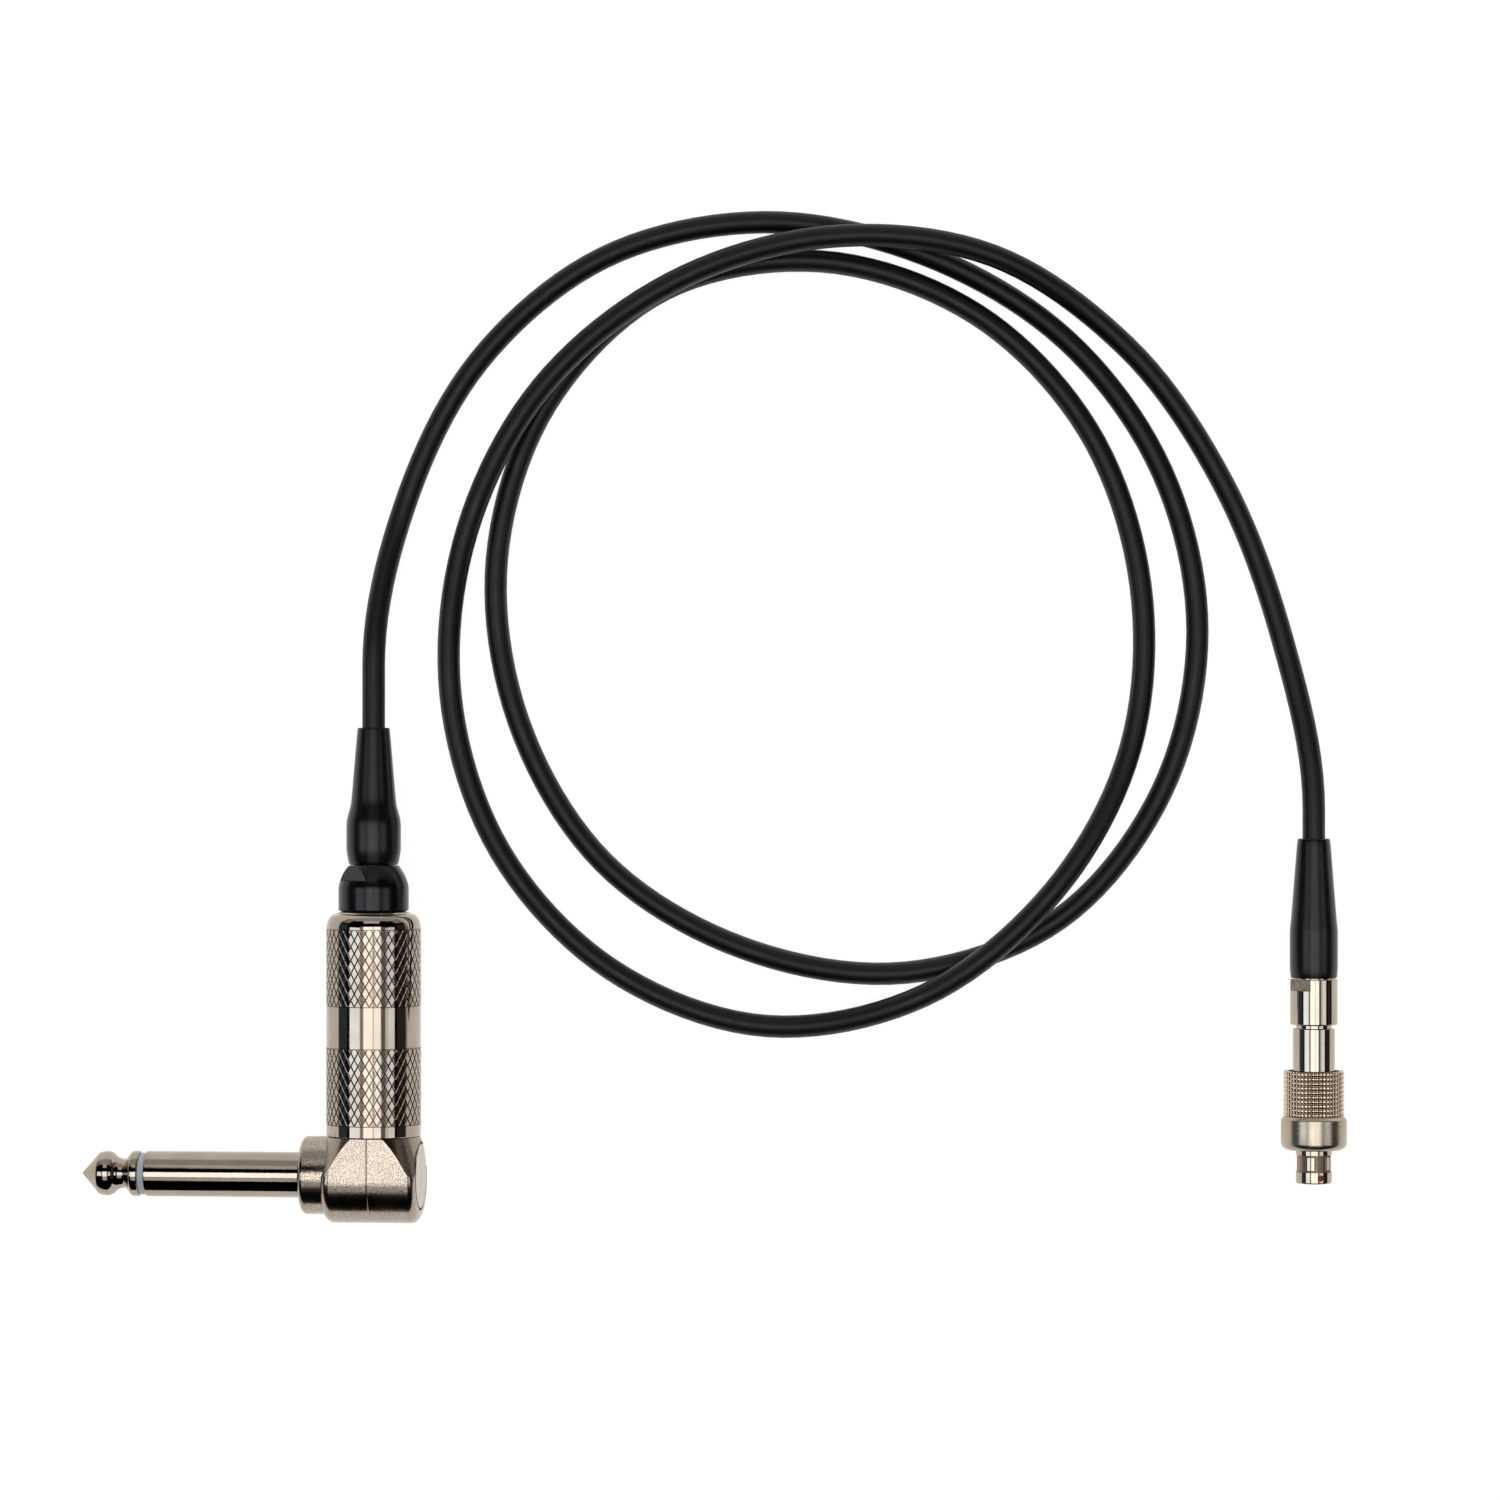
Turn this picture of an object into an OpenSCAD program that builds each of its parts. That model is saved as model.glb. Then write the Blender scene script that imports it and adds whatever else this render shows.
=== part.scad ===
// Instrument cable: a right-angle quarter-inch jack plug, a thin round cable laid in
// two open loops, and a small three-pin connector with a knurled coupling nut.
// Millimetres, +Z up. The origin is on the table, under the middle of the two plugs.
// The jack plug's shank points to -X and the small connector's pins to -Y.

/* [Jack plug shank] */
// Diameter of the shank
shank_d = 6.35; // [6.2:0.05:6.5]
// Length of the shank, from the collar to the point of the tip
shank_len = 31.4; // [29:0.2:34]
// Length of the tip contact, from its point to the insulating ring
tip_len = 8.3; // [8:0.1:9]
// Greatest diameter of the tip's ball
ball_d = 6.25; // [6:0.05:6.4]
// Diameter of the waist behind the ball
waist_d = 4.1; // [3.4:0.1:5]
// Width of the insulating ring
ring_w = 0.9; // [0.6:0.1:1.6]
// Diameter of the insulating ring
ring_d = 5.85; // [5.4:0.05:6.2]
// Bore of the shank's sleeve
sleeve_bore = 4.4; // [3.6:0.1:4.8]
// Diameter of the rod that carries the tip
rod_d = 2; // [1.6:0.1:2.6]
// Diameter of the sleeve's neck inside the elbow
neck_d = 6; // [5.6:0.1:6.1]

/* [Jack plug elbow] */
// Width of the cast elbow along the shank
elbow_w = 13.4; // [12.6:0.2:15]
// Thickness of the elbow between its two flat sides
elbow_t = 12.2; // [11.6:0.1:12.2]
// Height of the barrel's seat above the shank's axis
seat_h = 5.5; // [5.5:0.1:7]
// Depth of the elbow's round belly below the shank's axis
belly_h = 6.6; // [6.6:0.1:8]
// Radius of the elbow's rounded ends
elbow_round = 1.4; // [1.2:0.1:1.6]
// Radius of the turned cone where it meets the barrel
cone_r = 6.5; // [6.3:0.05:6.6]
// Slope of the turned cone, in radius per length
cone_slope = 0.37; // [0.3:0.01:0.45]
// Diameter of the collar at the root of the shank
collar_d = 10.9; // [9.6:0.1:11.6]
// Length of the collar
collar_len = 3.2; // [2.4:0.1:4]
// Diameter of the pressed-in end cap
cap_d = 9.5; // [9:0.1:10]
// Thickness of the end cap
cap_t = 1.6; // [1:0.1:2]
// Outer diameter of the threaded boss inside the barrel
boss_d = 11.6; // [11:0.1:11.8]
// Length of the threaded boss
boss_len = 7.5; // [7:0.5:10]
// Diameter of the chamber where the lugs are soldered
chamber_d = 9; // [8.4:0.1:9.4]

/* [Jack plug barrel] */
// Diameter of the barrel
barrel_d = 13.2; // [13:0.1:14]
// Length of the barrel
barrel_len = 31.3; // [28:0.5:36]
// Length of the barrel's rounded rear end
barrel_nose = 2.4; // [1.8:0.1:3]
// Length of each knurled band
knurl_len = 10.6; // [8:0.1:11]
// Length of the plain ring at the barrel's mouth
mouth_len = 1.8; // [1:0.1:2.4]
// Depth of the turned lines beside the knurled bands
line_depth = 0.12; // [0.08:0.02:0.2]
// Thickness of the barrel's rear wall
rear_wall = 3.8; // [3:0.2:5]
// Thickness of the insulating liner's wall
liner_wall = 0.4; // [0.3:0.1:0.6]

/* [Jack plug gland and boot] */
// Largest diameter of the gland nut
gland_d = 9.8; // [9.4:0.1:10.2]
// Length of the gland nut outside the barrel
gland_len = 6.3; // [5.8:0.1:7]
// Length of the gland nut's straight rim
gland_rim = 3; // [2:0.1:3.4]
// Diameter of the gland nut's small end
gland_tip_d = 7.2; // [6.8:0.1:8]
// Distance across the gland nut's wrench flats
gland_flats = 7; // [6.8:0.1:7.4]
// Length of the gland nut's wrench flats
gland_flat_len = 2.1; // [1.5:0.1:2.6]
// Angle of the gland nut's first flat from straight up, towards -X
gland_turn = 45; // [0:1:90]
// Diameter of the gland nut's spigot in the barrel
spigot_d = 8; // [7.6:0.1:8.6]
// Diameter of the gland nut's nose inside the boot
nose_d = 5.2; // [5:0.1:5.6]
// Length of the gland nut's nose inside the boot
nose_len = 4; // [3:0.5:6]
// Length of the plug's boot
boot_len = 19.1; // [17:0.1:24]
// Diameter of the boot's wide end
boot_d = 7.6; // [7.2:0.1:8]
// Diameter of the boot's foot
boot_foot_d = 7.1; // [6.6:0.1:7.4]
// Diameter of the boot where it flares
boot_flare_d = 6.3; // [5.8:0.1:6.8]
// Diameter of the boot's mouth
boot_mouth_d = 4.5; // [4.2:0.1:5]

/* [Cable] */
// Diameter of the cable
cable_d = 3.2; // [3:0.1:3.3]
// Diameter of a stripped conductor
core_d = 1.1; // [0.8:0.1:1.3]

/* [Small connector] */
// Diameter of the front tube
tube_d = 5.05; // [4.95:0.05:5.2]
// Length of the front tube in front of the coupling nut
tube_len = 4.7; // [4.4:0.1:6]
// Bore of the front tube
tube_bore = 4.05; // [3.9:0.05:4.1]
// Depth of the matt band that the latch windows sit in
band_depth = 0.16; // [0.16:0.01:0.18]
// Length of a latch window
window_len = 2; // [1.6:0.1:2.1]
// Width of a latch window round the tube, in degrees
window_angle = 23; // [16:1:26]
// Angle from the red mark to each neighbouring latch window
window_turn = 33; // [28:1:40]
// Angle of the red mark from straight up, towards +X
mark_turn = 15.5; // [0:0.5:30]
// Diameter of the red mark
mark_d = 0.9; // [0.6:0.1:1]
// Diameter of the rear shell
shell_d = 5.9; // [5.7:0.1:6.1]
// Length of the rear shell, from the coupling nut to the collet nut's groove
shell_len = 6; // [5:0.1:7]
// Width of the groove between the shell and the collet nut
groove_w = 0.5; // [0.3:0.1:0.8]
// Diameter of the threaded tail that shows in the groove
tail_d = 5; // [4.8:0.05:5.1]
// Diameter of the collet nut
collet_nut_d = 6.65; // [6.4:0.05:7]
// Length of the collet nut
collet_nut_len = 6.4; // [6:0.1:7]
// Distance across the collet nut's wrench flats
collet_flats = 5.5; // [5.3:0.1:5.9]
// Length of the collet nut's wrench flats
collet_flat_len = 1.65; // [1.2:0.05:2]
// Angle of the collet nut's first flat from straight up, towards -X
collet_turn = 49; // [0:1:90]
// Length of the connector's boot
tail_boot_len = 19.5; // [17:0.1:24]
// Diameter of the connector's boot at its wide end
tail_boot_d = 6.7; // [6.4:0.1:7.2]
// Diameter of the connector's boot at its mouth
tail_mouth_d = 4.5; // [4.2:0.1:5]
// Diameter of a contact pin
pin_d = 0.5; // [0.4:0.05:0.6]
// Diameter of the circle that the contact pins stand on
pin_circle = 1.9; // [1.7:0.05:2.1]

/* [Coupling nut] */
// Diameter of the coupling nut's plain rim
rim_d = 9.2; // [9:0.1:9.6]
// Length of the coupling nut's plain rim
rim_len = 4.7; // [4:0.1:5.2]
// Diameter over the coupling nut's knurl
grip_d = 8.5; // [8.3:0.1:8.8]
// Length of the coupling nut's knurl
grip_len = 6.3; // [5.5:0.1:8]
// Diameter of the coupling nut's thread
thread_d = 6.6; // [6.5:0.05:6.8]
// Width of the split ring that holds the coupling nut
slip_ring_w = 0.5; // [0.4:0.05:0.6]
// Free play of the coupling nut along the tube
nut_play = 0.5; // [0.3:0.05:0.6]

/* [Places and fits] */
// Place of the barrel's axis across the table
plug_x = -47.4; // [-50:0.1:-45]
// Place of the shank's axis along the table
plug_y = -28.05; // [-30:0.05:-26]
// Place of the small connector's axis across the table
small_x = 84; // [82:0.1:86]
// Place of the small connector's front end along the table
small_y = -29.3; // [-31:0.1:-28]
// Gap all round a part that turns or slides on another
run_gap = 0.05; // [0.03:0.01:0.08]
// Gap all round the cable in a boot or a clamp that slides on it
cable_gap = 0.1; // [0.06:0.02:0.14]
// Gap between end faces that turn against each other
face_gap = 0.1; // [0.06:0.02:0.14]
// Travel of the barrel before its thread lets go
barrel_travel = 6; // [4:0.5:6]
// Travel of the collet nut before its thread lets go
collet_travel = 2; // [1.5:0.25:2.25]

/* [Hidden] */
$fn = 96;
eps = 0.01;
arc_steps = 6;

// Colours of the finishes
nickel = "#b3aca1";
satin_nickel = "#a49d92";
polished_nickel = "#c9c5bf";
black_rubber = "#161617";
black_plastic = "#1c1c1e";
pale_plastic = "#c5cbd2";
brass = "#c2a15a";
cream_plastic = "#cdbf9f";

// Jack plug, along the shank from the barrel's axis
half_w = elbow_w / 2;
half_t = elbow_t / 2;
collar_end = half_w + collar_len;
plug_reach = collar_end + shank_len;
neck_end = collar_end + 0.3;
tip_root = plug_reach - tip_len;
sleeve_end = tip_root - ring_w;
sleeve_root = half_w - 2.2;
bush_t = 1.6;
bush_root = sleeve_root - bush_t;
lug_t = 0.5;
rod_root = bush_root - lug_t - 0.4;
ball_at = 3.65;

// Jack plug, along the barrel from the shank's axis
belly_r = half_t;
belly_y = belly_r - belly_h;
chamber_floor = -4.2;
boss_end = seat_h + boss_len;
barrel_end = seat_h + barrel_len;
barrel_bore = boss_d + 2 * run_gap;
inner_end = barrel_end - rear_wall;
plain_len = barrel_len - barrel_nose - 2 * knurl_len - mouth_len;
knurl_1 = seat_h + mouth_len;
plain_1 = knurl_1 + knurl_len;
knurl_2 = plain_1 + plain_len;
nose_1 = knurl_2 + knurl_len;
nose_drop = 1.35;
gland_foot = barrel_end + 0.15;
gland_end = gland_foot + gland_len;
boot_foot = gland_end + face_gap;
boot_end = boot_foot + boot_len;
chuck_d = 5.4;
chuck_root = inner_end - 1.5;
chuck_end = gland_foot + gland_len - 2.2;
cable_hole = cable_d + 2 * cable_gap;
lead_root = inner_end - 9;
strip_drop = cable_d / 2 + 0.9;
liner_d = chamber_d;
liner_end = inner_end - 0.8;

// The plug rests on its barrel, and leans until the tip's ball touches the table.
rest_z = barrel_d / 2;
ball_reach = plug_reach - ball_at;
lean = asin(rest_z / norm([ball_reach, ball_d / 2])) - atan2(ball_d / 2, ball_reach);

// Small connector, from its front end to the cable
small_z = rim_d / 2;
rim_at = tube_len;
grip_at = rim_at + rim_len;
nut_end = grip_at + grip_len;
shell_end = nut_end + shell_len;
tube_back = shell_end - 2;
collet_at = shell_end + groove_w;
collet_end = collet_at + collet_nut_len;
tail_foot = collet_end + face_gap;
tail_end = tail_foot + tail_boot_len;
tail_len = collet_travel + 0.3;
tail_bore = 4.2;
groove_at = rim_at + 2.5;
slip_groove = slip_ring_w + nut_play + 0.2;
slip_depth = 0.125;
slip_bore = tube_d - 2 * slip_depth + 2 * run_gap;
slip_d = thread_d - 0.2;
slip_at = groove_at + 0.1;
web_at = groove_at - 0.3;
web_end = grip_at + 0.2;
shell_at = web_end + nut_play + 0.1;
grip_bore = shell_d + 1.3;
sleeve_d = tube_bore + 0.36;
sleeve_front = 0.9;
sleeve_back = tube_len + 0.4;
window_at = 1.8;
window_gap = 0.1;
band_at = window_at - 0.2;
band_len = window_len + 0.4;
insert_at = 3.4;
insert_end = 10;
cup_d = 0.9;
strand_d = 0.55;
cup_end = 13.6;
pins_end = 1;
join_at = tail_end - tail_boot_len - 6;
small_nose_d = 5.2;
small_nose_len = 3;
small_bore = 2 * run_gap + tail_d;
collet_d = 4.6;
collet_front = collet_at + tail_len + 0.6;
collet_back = collet_end - 0.8;
boot_taper = 12.8;
tail_boot_step = 1.7;
mark_at = 0.85;
mark_depth = 0.15;

// Points of an arc about c, from angle a to angle b
function arc(c, r, a, b, n = arc_steps) =
    [for (i = [0:n]) c + r * [cos(a + (b - a) * i / n), sin(a + (b - a) * i / n)]];

// A rectangle from [x0, y0] to [x1, y1] in the profile plane
module band(x0, x1, y0, y1) translate([x0, y0]) square([x1 - x0, y1 - y0]);

// A profile of [radius, length] turned about +Y, or about -X for the shank
module turned_y() rotate([-90, 0, 0]) rotate_extrude() children();
module turned_x() rotate([0, -90, 0]) rotate_extrude() children();

// A plain tube about +Y
module tube_y(d, bore, from, to) turned_y() band(bore / 2, d / 2, from, to);

// Two wrench flats cut from what turns about +Y, with their normals turned from +Z towards -X
module flats_y(across, from, to, turn) {
    for (side = [0, 180])
        rotate([0, -turn + side, 0]) translate([-across, from, across / 2])
            cube([2 * across, to - from, across]);
}

// A straight wire of diameter d through a and b, cut square to Y at both of them
module wire(a, b, d) {
    v = (b - a) / norm(b - a);
    intersection() {
        translate(a - d * v) rotate([0, acos(v.z), atan2(v.y, v.x)])
            cylinder(d = d, h = norm(b - a) + 2 * d, $fn = 48);
        translate([min(a.x, b.x) - d, a.y, min(a.z, b.z) - d])
            cube([abs(b.x - a.x) + 2 * d, b.y - a.y, abs(b.z - a.z) + 2 * d]);
    }
}

module on_plug() translate([plug_x, plug_y, rest_z]) rotate([0, -lean, 0]) children();
module on_small() translate([small_x, small_y, small_z]) children();

// ---- Jack plug: the shank ----

// Turned tip contact: cone, ball, waist and flange, with the rod behind it
module tip_contact() {
    flange_r = shank_d / 2;
    rim = tip_len - 0.75;
    nose = 0.5;
    color(nickel) on_plug() turned_x() translate([0, plug_reach]) mirror([0, 1])
        polygon(concat(
            arc([0, nose], nose, -90, -45),
            arc([ball_d / 2 - 3, ball_at], 3, -17, 17),
            arc([waist_d / 2 + 0.5, tip_len - 2.15], 0.5, 225, 145, 4),
            arc([flange_r - 0.55, rim], 0.55, -60, 70),
            [[ring_d / 2 - 0.2, tip_len], [rod_d / 2, tip_len],
             [rod_d / 2, plug_reach - rod_root], [0, plug_reach - rod_root]]));
}

// Insulating ring between tip and sleeve, with its tube inside the sleeve
module tip_insulator() {
    color(pale_plastic) on_plug() turned_x() {
        band(rod_d / 2, ring_d / 2, sleeve_end, tip_root);
        band(rod_d / 2, sleeve_bore / 2, sleeve_root, sleeve_end + eps);
    }
}

// Sleeve contact, with a neck swaged into the elbow's collar
module shank_sleeve() {
    edge = 0.15;
    color(nickel) on_plug() turned_x() polygon([
        [sleeve_bore / 2, sleeve_root], [neck_d / 2, sleeve_root],
        [neck_d / 2, neck_end], [shank_d / 2, neck_end],
        [shank_d / 2, sleeve_end - edge], [shank_d / 2 - edge, sleeve_end],
        [sleeve_bore / 2, sleeve_end]]);
}

// ---- Jack plug: the elbow ----

// Half of the block's section, from its middle plane, with rounded ends
function elbow_half() = concat(
    [[0, -half_w]],
    arc([half_t - elbow_round, -half_w + elbow_round], elbow_round, -90, 0),
    arc([half_t - elbow_round, half_w - elbow_round], elbow_round, 0, 90),
    [[0, half_w]]);

// The cone that the block's shoulders are turned to, about the barrel's axis
module shoulder_cone() {
    low = belly_h + 1;
    turned_y() polygon([[0, -low], [cone_r + cone_slope * (seat_h + low), -low],
                        [cone_r, seat_h], [0, seat_h]]);
}

// Cast block: flat sides, a round belly, and shoulders turned to the cone
module elbow_block() {
    intersection() {
        union() {
            translate([0, belly_y, 0]) rotate([0, -90, 180])
                rotate_extrude(angle = 180) polygon(elbow_half());
            translate([0, belly_y, 0]) rotate([-90, 0, 0])
                linear_extrude(seat_h - belly_y) for (side = [0, 180])
                    rotate(90 + side) polygon(elbow_half());
        }
        shoulder_cone();
    }
}

module elbow_housing() {
    edge = 0.6;
    color(satin_nickel) on_plug() difference() {
        union() {
            elbow_block();
            turned_x() polygon(concat(
                [[0, 0], [collar_d / 2, 0]],
                arc([collar_d / 2 - edge, collar_end - edge], edge, 0, 90),
                [[0, collar_end]]));
            tube_y(boss_d, chamber_d, 0, boss_end);
        }
        // chamber under the barrel, open at the boss
        tube_y(chamber_d, 0, chamber_floor, boss_end + 1);
        // passage to the end cap, and the cap's seat
        rotate([0, 90, 0]) cylinder(d = cap_d - 1.2, h = half_w + 1);
        translate([half_w - cap_t, 0, 0]) rotate([0, 90, 0]) cylinder(d = cap_d, h = cap_t + 1);
        // bore for the sleeve's neck and the bush behind it
        translate([-collar_end - 1, 0, 0]) rotate([0, 90, 0])
            cylinder(d = neck_d, h = collar_end + 1);
    }
}

// Round cap pressed flush into the elbow's open end, and turned with its shoulders
module end_cap() {
    edge = 0.15;
    color(satin_nickel) on_plug() intersection() {
        rotate([0, 180, 0]) turned_x() polygon([
            [0, half_w - cap_t], [cap_d / 2, half_w - cap_t],
            [cap_d / 2, half_w - edge], [cap_d / 2 - edge, half_w], [0, half_w]]);
        shoulder_cone();
    }
}

// ---- Jack plug: inside ----

// Insulating bush round the tip's rod, between the sleeve and the lug
module rod_bush() {
    color(black_plastic) on_plug() turned_x() band(rod_d / 2, neck_d / 2, bush_root, sleeve_root);
}

// Solder lug riveted to the tip's rod, bent up towards the cable
module tip_lug() {
    lug_w = 2.4;
    reach = boss_end - 2;
    color(brass) on_plug() translate([-bush_root, 0, 0]) difference() {
        union() {
            rotate([0, 90, 0]) cylinder(d = 4.4, h = lug_t);
            translate([0, 0, -lug_w / 2]) cube([lug_t, reach, lug_w]);
        }
        translate([-1, 0, 0]) rotate([0, 90, 0]) cylinder(d = rod_d, h = lug_t + 2);
        translate([-1, reach - 1.4, 0]) rotate([0, 90, 0]) cylinder(d = 1.2, h = lug_t + 2);
    }
}

// Earth strip soldered to the chamber's floor side, with a crimp round the cable's end
module ground_lug() {
    strip_w = 3.4;
    foot = 1.5;
    crimp = [lead_root + 1, lead_root + 4];
    color(brass) on_plug() {
        translate([-strip_w / 2, foot, -strip_drop]) cube([strip_w, crimp[1] - foot, lug_t]);
        difference() {
            tube_y(2 * strip_drop, cable_d, crimp[0], crimp[1]);
            translate([-strip_drop, lead_root, cable_d / 4]) cube([2 * strip_drop, 5, 2 * strip_drop]);
        }
    }
}

// Thin insulating tube between the lugs and the barrel
module lug_liner() {
    color(black_plastic) on_plug()
        tube_y(liner_d, liner_d - 2 * liner_wall, seat_h + 0.5, liner_end);
}

// ---- Jack plug: barrel, gland and boot ----

// Turned barrel: rounded rear end, two bands for the knurl, and a threaded mouth
module barrel() {
    r = barrel_d / 2;
    color(nickel) on_plug() difference() {
        turned_y() difference() {
            polygon(concat(
                [[spigot_d / 2, seat_h], [r, seat_h]],
                [for (i = [0:arc_steps])
                    [r - nose_drop * (1 - cos(90 * i / arc_steps)),
                     nose_1 + barrel_nose * sin(90 * i / arc_steps)]],
                [[spigot_d / 2, barrel_end]]));
            for (y = [knurl_1, plain_1, knurl_2, nose_1])
                band(r - line_depth, r + 1, y - line_depth, y + line_depth);
        }
        tube_y(barrel_bore, 0, seat_h - 1, boss_end + barrel_travel - 3);
        tube_y(boss_d - 1, 0, seat_h, inner_end);
    }
}

// Black gland nut: rim, domed shoulder with two wrench flats, spigot and boot nose
module gland_nut() {
    dome = gland_len - gland_rim;
    color(black_plastic) on_plug() difference() {
        turned_y() polygon(concat(
            [[chuck_d / 2 + run_gap, inner_end], [spigot_d / 2, inner_end],
             [spigot_d / 2, barrel_end], [gland_d / 2 - 0.4, gland_foot - 0.15],
             [gland_d / 2, gland_foot + 0.2]],
            [for (i = [0:arc_steps])
                [gland_d / 2 - (gland_d - gland_tip_d) / 2 * (1 - cos(90 * i / arc_steps)),
                 gland_foot + gland_rim + dome * sin(90 * i / arc_steps)]],
            [[nose_d / 2, gland_end], [nose_d / 2, gland_end + nose_len],
             [cable_hole / 2, gland_end + nose_len], [cable_hole / 2, chuck_end + face_gap],
             [chuck_d / 2 + run_gap, chuck_end + face_gap]]));
        flats_y(gland_flats, gland_end - gland_flat_len, gland_end, gland_turn);
    }
}

// Slotted chuck that grips the cable inside the gland nut
module clamp_chuck() {
    slots = 3;
    color(pale_plastic) on_plug() difference() {
        tube_y(chuck_d, cable_d + 2 * run_gap, chuck_root, chuck_end);
        for (i = [0:slots - 1]) rotate([0, 360 / slots * i, 0])
            translate([0, chuck_root + 2, -0.3]) cube([chuck_d, chuck_end - chuck_root, 0.6]);
    }
}

// Moulded boot over the gland nut's nose
module plug_boot() {
    foot = 0.6;
    belly = 2.2;
    shoulder = 6.4;
    flare = 8.4;
    color(black_rubber) on_plug() turned_y() polygon([
        [nose_d / 2 + run_gap, boot_foot], [boot_foot_d / 2 - 0.25, boot_foot],
        [boot_foot_d / 2, boot_foot + foot], [boot_d / 2, boot_foot + belly],
        [boot_d / 2, boot_foot + shoulder - 0.7], [boot_d / 2 - 0.12, boot_foot + shoulder],
        [boot_flare_d / 2 + 0.12, boot_foot + flare - 0.5],
        [boot_flare_d / 2 - 0.06, boot_foot + flare + 0.5],
        [boot_mouth_d / 2, boot_end - 0.1], [boot_mouth_d / 2 - 0.1, boot_end],
        [cable_hole / 2, boot_end], [cable_hole / 2, boot_foot + nose_len + 0.3],
        [nose_d / 2 + run_gap, boot_foot + nose_len + 0.3]]);
}

// ---- Jack plug: the cable's end ----

module plug_lead() {
    color(black_rubber) on_plug() tube_y(cable_d, 0, lead_root, boot_end);
}

// Inner conductor, from the tip's lug to the jacket's end
module plug_core() {
    at_lug = [-bush_root + lug_t + core_d / 2, boss_end - 4, 0];
    at_jacket = [-core_d / 2 - 0.2, lead_root, 0];
    color(cream_plastic) on_plug() wire(at_lug, at_jacket, core_d);
}

// Twisted screen, from the earth strip to the jacket's end
module plug_screen() {
    at_strip = [core_d, lead_root - 7, lug_t + core_d / 2 - strip_drop];
    at_jacket = [core_d / 2 + 0.2, lead_root, -0.3];
    color(brass) on_plug() wire(at_strip, at_jacket, core_d);
}

// ---- Cable ----

// The cable's route on the table: out of the boot, round two open loops that cross
// over themselves in long low humps, and into the small connector's boot.
plug_mouth = [plug_x, plug_y + boot_end, rest_z];
small_mouth = [small_x, small_y + tail_end, small_z];
route = concat([plug_mouth], [
    [-47.4, 43, 6.6], [-43.5, 65.5, 1.6], [-33, 86, 1.6], [-15.5, 100.5, 1.6],
    [7, 105.5, 1.6], [29.5, 101, 1.6], [49.5, 89, 1.6], [63, 70.5, 1.6],
    [68, 48, 1.6], [63, 25.5, 1.6], [48.5, 7.5, 1.6], [27, 0, 1.6],
    [4, 3.5, 1.6], [-15.5, 15.5, 1.6], [-27.5, 35.5, 1.6], [-30.5, 58, 1.6],
    [-23.5, 80, 1.6], [-7, 96, 1.6], [15, 100, 1.6], [37, 92.5, 1.6],
    [52.5, 76.5, 1.6], [60, 54.5, 1.6], [58.5, 31.5, 2.4], [47.5, 11.5, 5.4],
    [29.5, -3, 5.1], [7.5, -7.5, 1.8], [-14.5, 0.5, 1.6], [-30, 17, 1.6],
    [-37, 39, 1.6], [-34.5, 62, 4.4], [-24, 82, 5.6], [-6, 96.5, 5.6],
    [16, 103, 5.6], [39, 100.5, 4.8], [58, 88, 1.6], [71.5, 69, 1.6],
    [80, 46.5, 2], [84, 23, 4.6]
], [small_mouth]);
out_of_plug = [0, 1, 0];
into_small = [0, -1, 0];
rings_per_stretch = 2;
cable_sides = 8;
last = len(route) - 1;

// Length of stretch i
function stretch(i) = norm(route[i + 1] - route[i]);

// The cable's direction at point i: straight where it leaves a boot, level where it
// tops a hump or reaches the table, and never so steep that it dips between points
function slope_at(i) =
    i <= 1 ? out_of_plug :
    i >= last - 1 ? into_small :
    let (a = stretch(i - 1), b = stretch(i),
         before = (route[i] - route[i - 1]) / a, after = (route[i + 1] - route[i]) / b,
         mean = (before * b + after * a) / (a + b),
         steepest = 3 * min(abs(before.z), abs(after.z)))
    [mean.x, mean.y,
     before.z * after.z <= 0 ? 0 : sign(mean.z) * min(abs(mean.z), steepest)];

// Smooth curve through the route: the point at share u of stretch i
function along(i, u) =
    let (h = stretch(i))
    route[i] * (2 * u ^ 3 - 3 * u ^ 2 + 1) + slope_at(i) * h * (u ^ 3 - 2 * u ^ 2 + u)
    + route[i + 1] * (3 * u ^ 2 - 2 * u ^ 3) + slope_at(i + 1) * h * (u ^ 3 - u ^ 2);

line = concat(
    [for (i = [0:last - 1], k = [0:rings_per_stretch - 1]) along(i, k / rings_per_stretch)],
    [small_mouth]);
ends = len(line) - 1;

function unit(v) = v / norm(v);
function heading(i) =
    i == 0 ? out_of_plug : i == ends ? into_small : unit(line[i + 1] - line[i - 1]);
function ring(i) =
    let (t = heading(i), side = unit(cross(t, [0, 0, 1])), top = cross(side, t))
    [for (k = [0:cable_sides - 1])
        line[i] + cable_d / 2 * (side * cos(360 * k / cable_sides) + top * sin(360 * k / cable_sides))];

module cable() {
    n = cable_sides;
    points = [for (i = [0:ends]) each ring(i)];
    walls = [for (i = [0:ends - 1], k = [0:n - 1], half = [0, 1])
        half == 0
            ? [i * n + k, i * n + (k + 1) % n, (i + 1) * n + (k + 1) % n]
            : [i * n + k, (i + 1) * n + (k + 1) % n, (i + 1) * n + k]];
    lids = [for (k = [1:n - 2]) each [[0, k + 1, k],
                                      [ends * n, ends * n + k, ends * n + k + 1]]];
    color(black_rubber) polyhedron(points = points, faces = concat(walls, lids), convexity = 8);
}

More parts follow.
